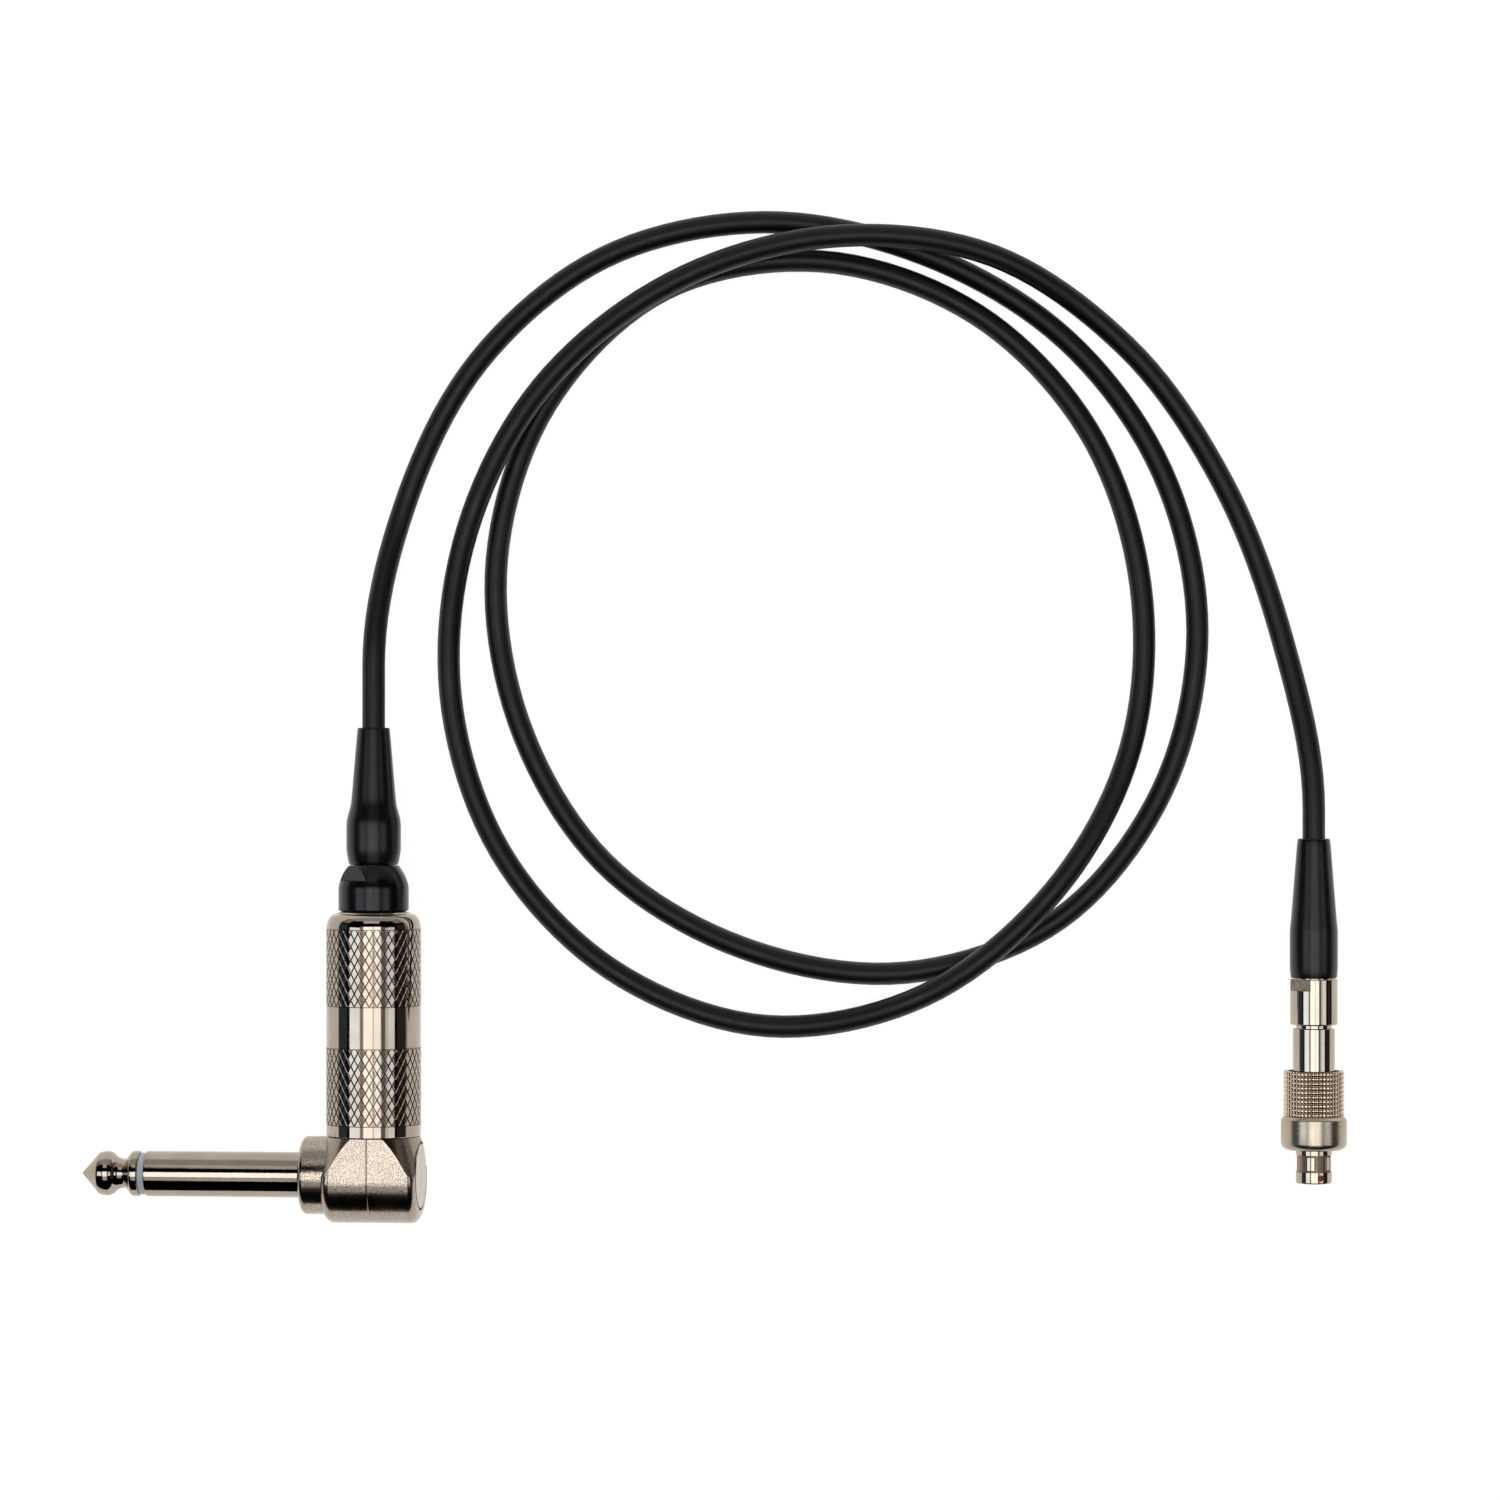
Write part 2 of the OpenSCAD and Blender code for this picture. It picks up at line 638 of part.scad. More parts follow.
// Least gap between two turns of the cable, measured from points along every stretch
// to all the stretches that lie more than a few rings away
checks_per_stretch = 4;
near_rings = 6;
function gap_to(p, i) =
    let (a = line[i], v = line[i + 1] - a, u = max(0, min(1, (p - a) * v / (v * v))))
    norm(p - a - u * v) - cable_d;
least_gap = min([for (i = [0:ends - 1], k = [0:checks_per_stretch - 1])
    let (p = line[i] + (line[i + 1] - line[i]) * k / checks_per_stretch)
    min([for (j = [0:ends - 1]) abs(i - j) > near_rings ? gap_to(p, j) : 100])]);
chords = [for (i = [0:ends - 1]) norm(line[i + 1] - line[i])];
cable_length = chords * [for (c = chords) 1];
union() {  // cable
    echo(least_gap_between_turns = least_gap, cable_length = cable_length);
}

// ---- Small connector: the front ----

// A block that covers a slice of the tube, turned from straight up towards +X
module window_block(wide, turn) {
    half = tube_d / 2 * sin(wide / 2);
    rotate([0, turn, 0]) translate([-half, window_at, tube_bore / 2 - 0.3])
        cube([2 * half, window_len, tube_d]);
}

window_turns = [for (side = [0, 180], way = [-1, 1]) mark_turn + side + way * window_turn];

module front_tube() {
    edge = 0.2;
    r = tube_d / 2;
    color(polished_nickel) on_small() difference() {
        turned_y() difference() {
            polygon([[tube_bore / 2, 0.1], [tube_bore / 2 + 0.1, 0], [r - edge, 0],
                     [r, edge], [r, tube_back], [tube_bore / 2, tube_back],
                     [tube_bore / 2, sleeve_back], [sleeve_d / 2, sleeve_back],
                     [sleeve_d / 2, sleeve_front], [tube_bore / 2, sleeve_front]]);
            band(r - band_depth, r + 1, band_at, band_at + band_len);
            band(r - slip_depth, r + 1, groove_at, groove_at + slip_groove);
        }
        for (turn = window_turns) window_block(window_angle + 2, turn);
        rotate([0, mark_turn, 0]) translate([0, mark_at, r - mark_depth])
            cylinder(d = mark_d, h = 1);
    }
}

// Spring sleeve inside the tube, with a tongue in each window, flush with the matt band
module latch_sleeve() {
    color(polished_nickel) on_small() difference() {
        union() {
            tube_y(sleeve_d, tube_bore, sleeve_front, sleeve_back);
            intersection() {
                tube_y(tube_d - 2 * band_depth, tube_bore, window_at + window_gap,
                       window_at + window_len - window_gap);
                for (turn = window_turns) window_block(window_angle - 4, turn);
            }
        }
        rotate([0, mark_turn + 90, 0]) translate([-0.2, 0, 0])
            cube([0.4, sleeve_back + 1, tube_d]);
    }
}

// Red enamel mark that shows which way up the connector goes
module alignment_mark() {
    r = tube_d / 2;
    color("#8f2a33") on_small() intersection() {
        rotate([0, mark_turn, 0]) translate([0, mark_at, r - mark_depth])
            cylinder(d = mark_d, h = 1);
        tube_y(tube_d, 0, 0, tube_len);
    }
}

function pin_place(i) = pin_circle / 2 * [sin(mark_turn + 120 * i), cos(mark_turn + 120 * i)];

module pin_insert() {
    color(cream_plastic) on_small() difference() {
        tube_y(tube_bore, 0, insert_at, insert_end);
        for (i = [0:2]) translate([pin_place(i).x, insert_at - 1, pin_place(i).y])
            rotate([-90, 0, 0]) cylinder(d = pin_d, h = insert_end, $fn = 48);
    }
}

// Three contact pins, each with a filled solder cup behind the insert
module contact_pins() {
    color(brass) on_small() for (i = [0:2])
        translate([pin_place(i).x, 0, pin_place(i).y]) rotate([-90, 0, 0]) rotate_extrude() {
            polygon([[0, pins_end], [pin_d / 2 - 0.1, pins_end], [pin_d / 2, pins_end + 0.2],
                     [pin_d / 2, insert_end], [cup_d / 2, insert_end],
                     [cup_d / 2, cup_end], [0, cup_end]]);
        }
}

// ---- Small connector: shell and coupling nut ----

module rear_shell() {
    r = shell_d / 2;
    color(polished_nickel) on_small() turned_y() difference() {
        polygon([[tube_d / 2, shell_at], [r - 0.1, shell_at], [r, shell_at + 0.1],
                 [r, shell_end - 0.12], [r - 0.12, shell_end], [tail_d / 2, shell_end],
                 [tail_d / 2, collet_at + tail_len], [tail_bore / 2, collet_at + tail_len],
                 [tail_bore / 2, tube_back], [tube_d / 2, tube_back]]);
    }
}

// Split ring that lets the coupling nut turn and keeps it on the tube
module slip_ring() {
    color(brass) on_small() difference() {
        tube_y(slip_d, slip_bore, slip_at, slip_at + slip_ring_w);
        translate([-0.5, slip_at - 1, -slip_d]) cube([1, slip_ring_w + 2, slip_d]);
    }
}

// Knurled coupling nut with a plain rim over its thread
module coupling_nut() {
    r = rim_d / 2;
    g = grip_d / 2;
    chamfer = 0.35;
    fillet = 0.75;
    edge = 0.2;
    color(satin_nickel) on_small() turned_y() difference() {
        polygon(concat(
            [[thread_d / 2, rim_at + 0.15], [thread_d / 2 + 0.15, rim_at]],
            arc([r - fillet, rim_at + fillet], fillet, -90, 0),
            [[r, grip_at - chamfer], [g, grip_at], [g, nut_end - edge], [g - edge, nut_end],
             [grip_bore / 2, nut_end], [grip_bore / 2, web_end],
             [tube_d / 2 + run_gap, web_end], [tube_d / 2 + run_gap, web_at],
             [thread_d / 2, web_at]]));
        band(0, slip_d / 2 + run_gap, slip_at - run_gap, slip_at + slip_ring_w + run_gap);
    }
}

// ---- Small connector: clamp and boot ----

// Slotted collet that grips the cable inside the collet nut
module collet() {
    slots = 4;
    color(brass) on_small() difference() {
        tube_y(collet_d, cable_d + 2 * run_gap, collet_front, collet_back);
        for (i = [0:slots - 1]) rotate([0, 45 + 90 * i, 0])
            translate([0, collet_front - 1, -0.2])
                cube([collet_d, collet_back - collet_front - 0.2, 0.4]);
    }
}

// Collet nut: polished, with two matt wrench flats, screwed on the shell's tail
module collet_nut() {
    r = collet_nut_d / 2;
    edge = 0.15;
    back = collet_end + small_nose_len;
    color(polished_nickel) on_small() difference() {
        turned_y() polygon([
            [small_bore / 2, collet_at], [r - edge, collet_at], [r, collet_at + edge],
            [r, collet_end - edge], [r - edge, collet_end], [small_nose_d / 2, collet_end],
            [small_nose_d / 2, back], [cable_hole / 2, back],
            [cable_hole / 2, collet_back + face_gap],
            [collet_d / 2 + run_gap, collet_back + face_gap],
            [collet_d / 2 + run_gap, collet_front - face_gap],
            [small_bore / 2, collet_front - face_gap]]);
        flats_y(collet_flats, collet_end - collet_flat_len, collet_end, collet_turn);
    }
}

module connector_boot() {
    r = tail_boot_d / 2;
    color(black_rubber) on_small() turned_y() polygon([
        [small_nose_d / 2 + run_gap, tail_foot], [r - 0.12, tail_foot],
        [r, tail_foot + tail_boot_step], [r, tail_end - boot_taper],
        [r - 0.15, tail_end - boot_taper + 1], [tail_mouth_d / 2, tail_end - 0.1],
        [tail_mouth_d / 2 - 0.1, tail_end], [cable_hole / 2, tail_end],
        [cable_hole / 2, tail_foot + small_nose_len + 0.3],
        [small_nose_d / 2 + run_gap, tail_foot + small_nose_len + 0.3]]);
}

// ---- Small connector: the cable's end ----

module connector_lead() {
    color(black_rubber) on_small() tube_y(cable_d, 0, join_at, tail_end);
}

// Three conductors, from the solder cups to the jacket's end
module connector_cores() {
    color(cream_plastic) on_small() for (i = [0:2]) {
        cup = pin_place(i);
        far = cup * 0.75;
        wire([cup.x, cup_end, cup.y], [far.x, join_at, far.y], strand_d);
    }
}

tip_contact();
tip_insulator();
shank_sleeve();
elbow_housing();
end_cap();
rod_bush();
tip_lug();
ground_lug();
lug_liner();
barrel();
gland_nut();
clamp_chuck();
plug_boot();
plug_lead();
plug_core();
plug_screen();
cable();
front_tube();
latch_sleeve();
alignment_mark();
pin_insert();
contact_pins();
rear_shell();
slip_ring();
coupling_nut();
collet();
collet_nut();
connector_boot();
connector_lead();
connector_cores();
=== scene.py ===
"""Instrument cable, dressed: jack plug, thin cable in two loops, small connector.

Everything is modelled in millimetres in the frame of its own plug, and moved to its
place on the table, in metres, when it is finished.
"""

import logging
import math
from dataclasses import dataclass, field
from enum import Enum
from typing import Callable, Sequence

import bpy
from mathutils import Matrix, Vector


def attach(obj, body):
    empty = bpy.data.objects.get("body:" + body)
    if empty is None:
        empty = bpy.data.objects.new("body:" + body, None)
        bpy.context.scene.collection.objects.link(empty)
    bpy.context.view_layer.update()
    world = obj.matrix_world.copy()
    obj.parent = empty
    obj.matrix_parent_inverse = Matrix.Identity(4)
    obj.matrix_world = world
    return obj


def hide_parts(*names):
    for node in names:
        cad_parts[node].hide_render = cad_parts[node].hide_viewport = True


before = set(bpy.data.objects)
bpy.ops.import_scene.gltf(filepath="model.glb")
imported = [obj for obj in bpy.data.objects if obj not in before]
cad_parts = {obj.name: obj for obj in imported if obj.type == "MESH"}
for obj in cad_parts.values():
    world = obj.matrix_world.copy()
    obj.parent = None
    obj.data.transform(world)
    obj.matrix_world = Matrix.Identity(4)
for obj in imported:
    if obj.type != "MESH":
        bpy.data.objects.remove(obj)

logging.basicConfig(level=logging.INFO, format="%(name)s: %(message)s")
log = logging.getLogger("instrument_cable")

Point = tuple[float, float]
Point3 = tuple[float, float, float]


class Axis(Enum):
    """What a turned piece turns about, in the frame of its plug."""

    BARREL = "barrel"
    SHANK = "shank"


class Pattern(Enum):
    """How a surface was made, which decides how its marks lie."""

    TURNED = "turned"
    CAST = "cast"
    MOULDED = "moulded"
    EXTRUDED = "extruded"
    TWISTED = "twisted"
    PLAIN = "plain"


# ---- Places and sizes shared by all pieces, in millimetres ----

PLUG_AT: Point3 = (-47.4, -28.05, 6.6)
PLUG_LEAN = math.radians(5.3163)
SMALL_AT: Point3 = (84.0, -29.3, 4.6)
METRES_PER_MM = 0.001

# Vertices closer than the first are merged, and those where two cells of a knurl meet are
# merged when they are closer than the second.
SAME_PLACE = 1e-4
SAME_PLACE_IN_KNURL = 2e-3
# A cutting block reaches this far out, past the surface of every nut.
PAST_THE_NUT = 8.0
# Faces larger than this, in square millimetres, are flats: they are shaded flat.
FLAT_AREA = 5.0


def plug_place() -> Matrix:
    """The jack plug's frame on the table, leaning until the ball touches it."""
    return Matrix.Translation(PLUG_AT) @ Matrix.Rotation(-PLUG_LEAN, 4, "Y")


def small_place() -> Matrix:
    """The small connector's frame on the table."""
    return Matrix.Translation(SMALL_AT)


# ---- Colour and nodes ----


def linear(code: str) -> tuple[float, float, float, float]:
    """Turns an sRGB hex value into linear colour.

    Args:
        code: Six hex digits after a hash sign.

    Returns:
        Red, green, blue and alpha, linear.
    """
    parts = [int(code[i : i + 2], 16) / 255 for i in (1, 3, 5)]
    values = [c / 12.92 if c <= 0.04045 else ((c + 0.055) / 1.055) ** 2.4 for c in parts]
    return values[0], values[1], values[2], 1.0


def node(tree: bpy.types.NodeTree, kind: str, settings: dict | None = None,
         links: dict | None = None) -> bpy.types.Node:
    """Adds a node with its settings and its links.

    Args:
        tree: The node tree that it goes into.
        kind: The node's type name.
        settings: Attributes by name, or input values by the input's name or number.
        links: Sockets that feed the inputs, by the input's name or number.

    Returns:
        The new node.
    """
    made = tree.nodes.new(kind)
    for key, value in (settings or {}).items():
        if isinstance(key, int) or key in made.inputs:
            made.inputs[key].default_value = value
        else:
            setattr(made, key, value)
    for key, socket in (links or {}).items():
        tree.links.new(socket, made.inputs[key])
    return made


# Gloss varies in patches of about 4 mm, and no surface is a perfect mirror.
PATCHES_PER_M = 260.0
LEAST_ROUGHNESS = 0.02
# Most of one noise lies between the first pair of values, and most of the sum of two noises
# between the second pair.
NOISE_LOW, NOISE_HIGH = 0.38, 0.62
SUM_LOW, SUM_HIGH = 0.7, 1.3
# How much coarser a turned surface's marks are round it, and an extruded one's along it.
TURNED_STRETCH = 0.012
EXTRUDED_STRETCH = 0.1


@dataclass(frozen=True)
class Finish:
    """A surface as it was made: its colour, gloss and the marks of its making.

    mark_mm is the width of its marks and depth_mm their depth. The roughness varies by
    spread to both sides, and the colour goes from colour to tint.
    """

    name: str
    colour: str
    roughness: float
    metallic: float
    pattern: Pattern
    mark_mm: float
    depth_mm: float
    spread: float
    tint: str
    coat: float = 0.0
    ior: float = 1.5

    def stretch(self) -> Point3:
        """How the pattern is drawn out.

        Returns:
            Its scales along X, Y and Z, in marks to the metre.
        """
        per_m = 1000 / self.mark_mm
        if self.pattern is Pattern.TURNED:
            return (per_m * TURNED_STRETCH, per_m, per_m * TURNED_STRETCH)
        if self.pattern is Pattern.EXTRUDED:
            return (per_m, per_m * EXTRUDED_STRETCH, per_m)
        return (per_m, per_m, per_m)

    def build(self) -> bpy.types.Material:
        """Makes the material, or finds it once it is made.

        Returns:
            A material with its colour, roughness and bump from nodes.
        """
        found = bpy.data.materials.get(self.name)
        if found:
            return found
        made = bpy.data.materials.new(self.name)
        made.use_nodes = True
        tree = made.node_tree
        shader = tree.nodes["Principled BSDF"]
        shader.inputs["Metallic"].default_value = self.metallic
        if self.metallic == 0:
            shader.inputs["IOR"].default_value = self.ior
        if self.coat:
            shader.inputs["Coat Weight"].default_value = self.coat
        where = node(tree, "ShaderNodeTexCoord").outputs["Object"]
        mapped = node(tree, "ShaderNodeMapping", {"Scale": self.stretch()}, {"Vector": where})
        cast = self.pattern is Pattern.CAST
        marks = node(tree, "ShaderNodeTexNoise", {"Scale": 1.0, "Detail": 1.0 if cast else 3.0},
                     {"Vector": mapped.outputs[0]}).outputs["Fac"]
        cloud = node(tree, "ShaderNodeTexNoise", {"Scale": PATCHES_PER_M, "Detail": 2.0},
                     {"Vector": where}).outputs["Fac"]
        mixed = node(tree, "ShaderNodeMath", {"operation": "ADD"},
                     {0: marks, 1: cloud}).outputs[0]
        gloss = node(tree, "ShaderNodeMapRange",
                     {"From Min": SUM_LOW, "From Max": SUM_HIGH,
                      "To Min": max(LEAST_ROUGHNESS, self.roughness - self.spread),
                      "To Max": self.roughness + self.spread}, {"Value": mixed})
        tree.links.new(gloss.outputs[0], shader.inputs["Roughness"])
        fleck = node(tree, "ShaderNodeMapRange", {"From Min": NOISE_LOW, "From Max": NOISE_HIGH},
                     {"Value": marks if cast else cloud}).outputs[0]
        # Inputs 6 and 7 are the two colours of a mix of colours.
        shade = node(tree, "ShaderNodeMix",
                     {"data_type": "RGBA", 6: linear(self.colour), 7: linear(self.tint)},
                     {0: fleck})
        tree.links.new(shade.outputs[2], shader.inputs["Base Color"])
        bump = node(tree, "ShaderNodeBump",
                    {"Strength": 1.0, "Distance": self.depth_mm / 1000}, {"Height": marks})
        tree.links.new(bump.outputs[0], shader.inputs["Normal"])
        return made


# The marks below are about 0.1 to 0.3 mm wide. That is coarser than the grain of real plate,
# plastic or a tool's feed, which would be too fine to show in the render.

# Nickel plate over turned brass: warm grey with fine rings from the tool.
TURNED_NICKEL = Finish("turned_nickel_plate", "#A99E92", 0.07, 1.0, Pattern.TURNED,
                       0.16, 0.0032, 0.04, "#A3978A")
# The same plate on the leaning shank, polished until no rings are left, only a faint waviness.
SHANK_NICKEL = Finish("shank_nickel_plate", "#A99E92", 0.07, 1.0, Pattern.PLAIN,
                      0.25, 0.004, 0.03, "#A3978A")
# Nickel plate over a zinc casting: the grain of the die breaks up every reflection.
CAST_NICKEL = Finish("cast_nickel_plate", "#B4A99D", 0.18, 1.0, Pattern.CAST,
                     0.16, 0.0095, 0.05, "#8E8377")
# Nickel plate over a turned cone of the same casting: a little smoother, and darker, which is
# painted shade on the sloping shoulders.
SHADED_CONE_NICKEL = Finish("turned_cast_nickel_painted_shade", "#9C9083", 0.24, 1.0, Pattern.CAST,
                     0.2, 0.003, 0.05, "#8F8374")
# Polished nickel plate: clear reflections, almost no marks.
POLISHED_NICKEL = Finish("polished_nickel_plate", "#AFA599", 0.05, 1.0, Pattern.TURNED,
                         0.12, 0.0003, 0.02, "#A99F92")
# Satin nickel plate, tumbled before plating: soft wide highlights.
SATIN_NICKEL = Finish("satin_nickel_plate", "#B1A595", 0.27, 1.0, Pattern.TURNED,
                      0.1, 0.0012, 0.05, "#A89B8A")
# Fine blasted nickel plate of the latch band: warm and soft, with no clear reflection.
BLASTED_NICKEL = Finish("blasted_nickel_plate", "#988674", 0.42, 1.0, Pattern.CAST,
                        0.2, 0.012, 0.05, "#85735F")
# Nickel plate where a wrench flat was milled rough: a coarse, even glitter.
MILLED_NICKEL = Finish("milled_nickel_plate", "#BDB1A2", 0.42, 1.0, Pattern.CAST,
                       0.25, 0.03, 0.06, "#9A8D7D")
# Satin nickel on the points of the cross-cut knurl, lighter than the nut as a painted highlight:
# light, and a little warm.
KNURL_POINTS_PAINTED_HIGHLIGHT = Finish("knurl_points_nickel_painted_highlight", "#DACAB8", 0.2, 1.0, Pattern.CAST,
                      0.2, 0.0012, 0.05, "#D6C0A8")
# The same knurl in its valleys, darkened with painted shade: brown and soft.
KNURL_VALLEY_PAINTED_SHADE = Finish("knurl_valleys_nickel_painted_shade", "#B8947A", 0.4, 1.0, Pattern.CAST,
                       0.2, 0.004, 0.06, "#A8825A")
# Nickel plate with painted shade, for the cap's joint and the slits round the latch tongues:
# dark and matt.
JOINT_SHADE_NICKEL = Finish("nickel_with_painted_joint_shade", "#75695A", 0.42, 1.0, Pattern.CAST,
                     0.2, 0.004, 0.06, "#655A4B")
# Satin rubber boot, moulded with a fine spark-eroded grain: black with soft highlights.
BOOT_RUBBER = Finish("moulded_boot_rubber", "#030303", 0.3, 0.0, Pattern.MOULDED,
                     0.14, 0.0025, 0.04, "#030303", ior=1.42)
# Matt cable jacket, extruded: black with a wide, dull highlight.
CABLE_JACKET = Finish("extruded_cable_jacket", "#060606", 0.44, 0.0, Pattern.EXTRUDED,
                      0.2, 0.004, 0.05, "#040404", ior=1.42)
# Moulded nylon of the gland nut: black, glossier than the boot.
BLACK_NYLON = Finish("moulded_black_nylon", "#020203", 0.24, 0.0, Pattern.MOULDED,
                     0.3, 0.002, 0.04, "#030303", ior=1.38)
# Acetal of the insulating ring: pale blue grey, with a soft sheen.
PALE_ACETAL = Finish("pale_acetal", "#C7CFD6", 0.36, 0.0, Pattern.MOULDED,
                     0.3, 0.004, 0.05, "#BFC8D0")
# High-temperature plastic of the contact insert: cream and matt.
CREAM_INSERT = Finish("cream_insert_plastic", "#CDBF9F", 0.45, 0.0, Pattern.MOULDED,
                      0.2, 0.003, 0.05, "#C4B593")
# Thin insulation of a conductor: off-white, with a dull sheen.
WIRE_INSULATION = Finish("wire_insulation", "#D9D2BF", 0.4, 0.0, Pattern.EXTRUDED,
                         0.2, 0.003, 0.05, "#CEC6B0")
# Twisted bare copper: red, with a broken glitter.
COPPER_STRAND = Finish("twisted_copper", "#C9875F", 0.32, 1.0, Pattern.TWISTED,
                       0.25, 0.02, 0.08, "#B9744C")
# Bare brass of lugs, pins, collet and slip ring: yellow, with soft reflections.
BARE_BRASS = Finish("bare_brass", "#CDB070", 0.28, 1.0, Pattern.MOULDED,
                    0.3, 0.003, 0.08, "#BD9E5C")
# Red enamel in a drilled spot: dark red under a thin clear coat.
RED_ENAMEL = Finish("red_enamel", "#7E2630", 0.3, 0.0, Pattern.MOULDED,
                    0.3, 0.002, 0.04, "#6E1F2A", coat=0.3)


# ---- The bench: what is done by hand, as operators ----


def clear_selection() -> None:
    """Deselects everything, so that an operator acts on one piece only."""
    if bpy.context.object and bpy.context.object.mode != "OBJECT":
        bpy.ops.object.mode_set(mode="OBJECT")
    bpy.ops.object.select_all(action="DESELECT")


def take(obj: bpy.types.Object) -> None:
    """Makes a piece the only selected and the active one.

    Args:
        obj: The piece.
    """
    clear_selection()
    obj.select_set(True)
    bpy.context.view_layer.objects.active = obj


def pick_edges(obj: bpy.types.Object, test: Callable[[Vector], bool]) -> None:
    """Selects the edges of a mesh in edit mode by where they are.

    Args:
        obj: The piece, in edit mode.
        test: What an edge's middle has to pass.
    """
    bpy.ops.mesh.select_mode(type="EDGE")
    bpy.ops.mesh.select_all(action="DESELECT")
    bpy.ops.object.mode_set(mode="OBJECT")
    places = [v.co for v in obj.data.vertices]
    for edge in obj.data.edges:
        a, b = (places[i] for i in edge.vertices)
        edge.select = test((a + b) / 2)
    bpy.ops.object.mode_set(mode="EDIT")


def pick_faces(obj: bpy.types.Object, test: Callable[[bpy.types.MeshPolygon], bool]) -> None:
    """Selects faces of a mesh and goes into edit mode.

    Args:
        obj: The piece, in object mode.
        test: What a face has to pass.
    """
    bpy.ops.object.mode_set(mode="EDIT")
    bpy.ops.mesh.select_mode(type="FACE")
    bpy.ops.mesh.select_all(action="DESELECT")
    bpy.ops.object.mode_set(mode="OBJECT")
    for face in obj.data.polygons:
        face.select = test(face)
    bpy.ops.object.mode_set(mode="EDIT")


def arc(centre: Point, r: float, start: float, stop: float, n: int = 8) -> list[Point]:
    """Points of an arc in a profile of radius and length.

    Args:
        centre: The arc's centre.
        r: Its radius.
        start: Its first angle in degrees, from the direction of the radius.
        stop: Its last angle.
        n: The number of chords.

    Returns:
        The points, from start to stop.
    """
    angles = [math.radians(start + (stop - start) * i / n) for i in range(n + 1)]
    return [(centre[0] + r * math.cos(a), centre[1] + r * math.sin(a)) for a in angles]


def at(axis: Axis, r: float, along: float) -> Vector:
    """A profile point in the frame of its plug, where the lathe starts."""
    return Vector((-along, 0, r)) if axis is Axis.SHANK else Vector((r, along, 0))


def merge_doubles(gap: float = SAME_PLACE) -> None:
    """Merges the vertices of the mesh in edit mode that are at the same place."""
    bpy.ops.mesh.select_all(action="SELECT")
    bpy.ops.mesh.remove_doubles(threshold=gap)


def close_up() -> None:
    """Merges doubles, turns every face outwards and leaves edit mode."""
    merge_doubles()
    bpy.ops.mesh.select_all(action="SELECT")
    bpy.ops.mesh.normals_make_consistent(inside=False)
    bpy.ops.object.mode_set(mode="OBJECT")


def start(name: str) -> bpy.types.Object:
    """Names the primitive just added and selects all of it in edit mode.

    Args:
        name: The piece's name.

    Returns:
        The primitive.
    """
    obj = bpy.context.object
    obj.name = obj.data.name = name
    bpy.ops.object.mode_set(mode="EDIT")
    bpy.ops.mesh.select_mode(type="VERT")
    bpy.ops.mesh.select_all(action="SELECT")
    return obj


def draw(name: str, points: Sequence[Vector]) -> bpy.types.Object:
    """Draws a line by extruding one vertex from point to point.

    Args:
        name: The piece's name.
        points: The points, in the frame of its plug.

    Returns:
        The line, in edit mode and all selected.
    """
    clear_selection()
    bpy.ops.mesh.primitive_plane_add(size=0.01, location=(0, 0, 0))
    obj = start(name)
    bpy.ops.mesh.merge(type="CENTER")
    bpy.ops.transform.translate(value=points[0])
    for a, b in zip(points, points[1:]):
        bpy.ops.mesh.extrude_region_move(TRANSFORM_OT_translate={"value": b - a})
    bpy.ops.mesh.select_all(action="SELECT")
    return obj


def lathe(name: str, profile: Sequence[Point], axis: Axis = Axis.BARREL,
          steps: int = 128, closed: bool = True) -> bpy.types.Object:
    """Turns a profile about an axis, as on a lathe.

    Args:
        name: The piece's name.
        profile: Points of radius and length.
        axis: What it turns about.
        steps: The number of facets round the axis.
        closed: Whether the last point joins the first.

    Returns:
        The turned piece, in millimetres in the frame of its plug.
    """
    points = [at(axis, r, along) for r, along in profile]
    if closed:
        points.append(points[0])
    obj = draw(name, points)
    turn = (1, 0, 0) if axis is Axis.SHANK else (0, 1, 0)
    bpy.ops.mesh.spin(steps=steps, angle=2 * math.pi, center=(0, 0, 0), axis=turn)
    close_up()
    return obj


def apply_modifier(obj: bpy.types.Object, kind: str, **settings: object) -> None:
    """Adds a modifier and applies it.

    Args:
        obj: The piece.
        kind: The modifier's type.
        **settings: Its settings by name.
    """
    take(obj)
    made = obj.modifiers.new(kind.lower(), kind)
    for key, value in settings.items():
        setattr(made, key, value)
    bpy.ops.object.modifier_apply(modifier=made.name)


def cut(obj: bpy.types.Object, tool: bpy.types.Object, how: str = "DIFFERENCE") -> None:
    """Cuts one piece with another, joins it to it, or keeps what they share.

    Args:
        obj: The piece that is kept.
        tool: The piece that cuts, which is removed.
        how: DIFFERENCE, UNION or INTERSECT.
    """
    apply_modifier(obj, "BOOLEAN", operation=how, object=tool, solver="EXACT")
    bpy.data.objects.remove(tool)


def block(low: Point3, high: Point3, turn: Matrix | None = None) -> bpy.types.Object:
    """A box between two corners, turned about the plug's origin.

    Args:
        low: Its lowest corner.
        high: Its highest corner.
        turn: How it is turned afterwards.

    Returns:
        The box, for cutting with.
    """
    clear_selection()
    middle = [(a + b) / 2 for a, b in zip(low, high)]
    bpy.ops.mesh.primitive_cube_add(size=1, location=middle)
    obj = bpy.context.object
    obj.scale = [b - a for a, b in zip(low, high)]
    bpy.ops.object.transform_apply(location=True, rotation=True, scale=True)
    if turn is not None:
        obj.data.transform(turn)
    return obj


def cut_flats(nut: bpy.types.Object, turned: float, across: float, low: float,
              high: float) -> None:
    """Cuts two opposite wrench flats.

    Args:
        nut: The nut.
        turned: How far the flats are turned about its axis, in degrees.
        across: The distance between them.
        low: Where they start along the nut.
        high: Where they end.
    """
    for side in (0, math.pi):
        turn = Matrix.Rotation(-math.radians(turned) + side, 4, "Y")
        cut(nut, block((-PAST_THE_NUT, low, across / 2),
                       (PAST_THE_NUT, high + 0.01, PAST_THE_NUT), turn))


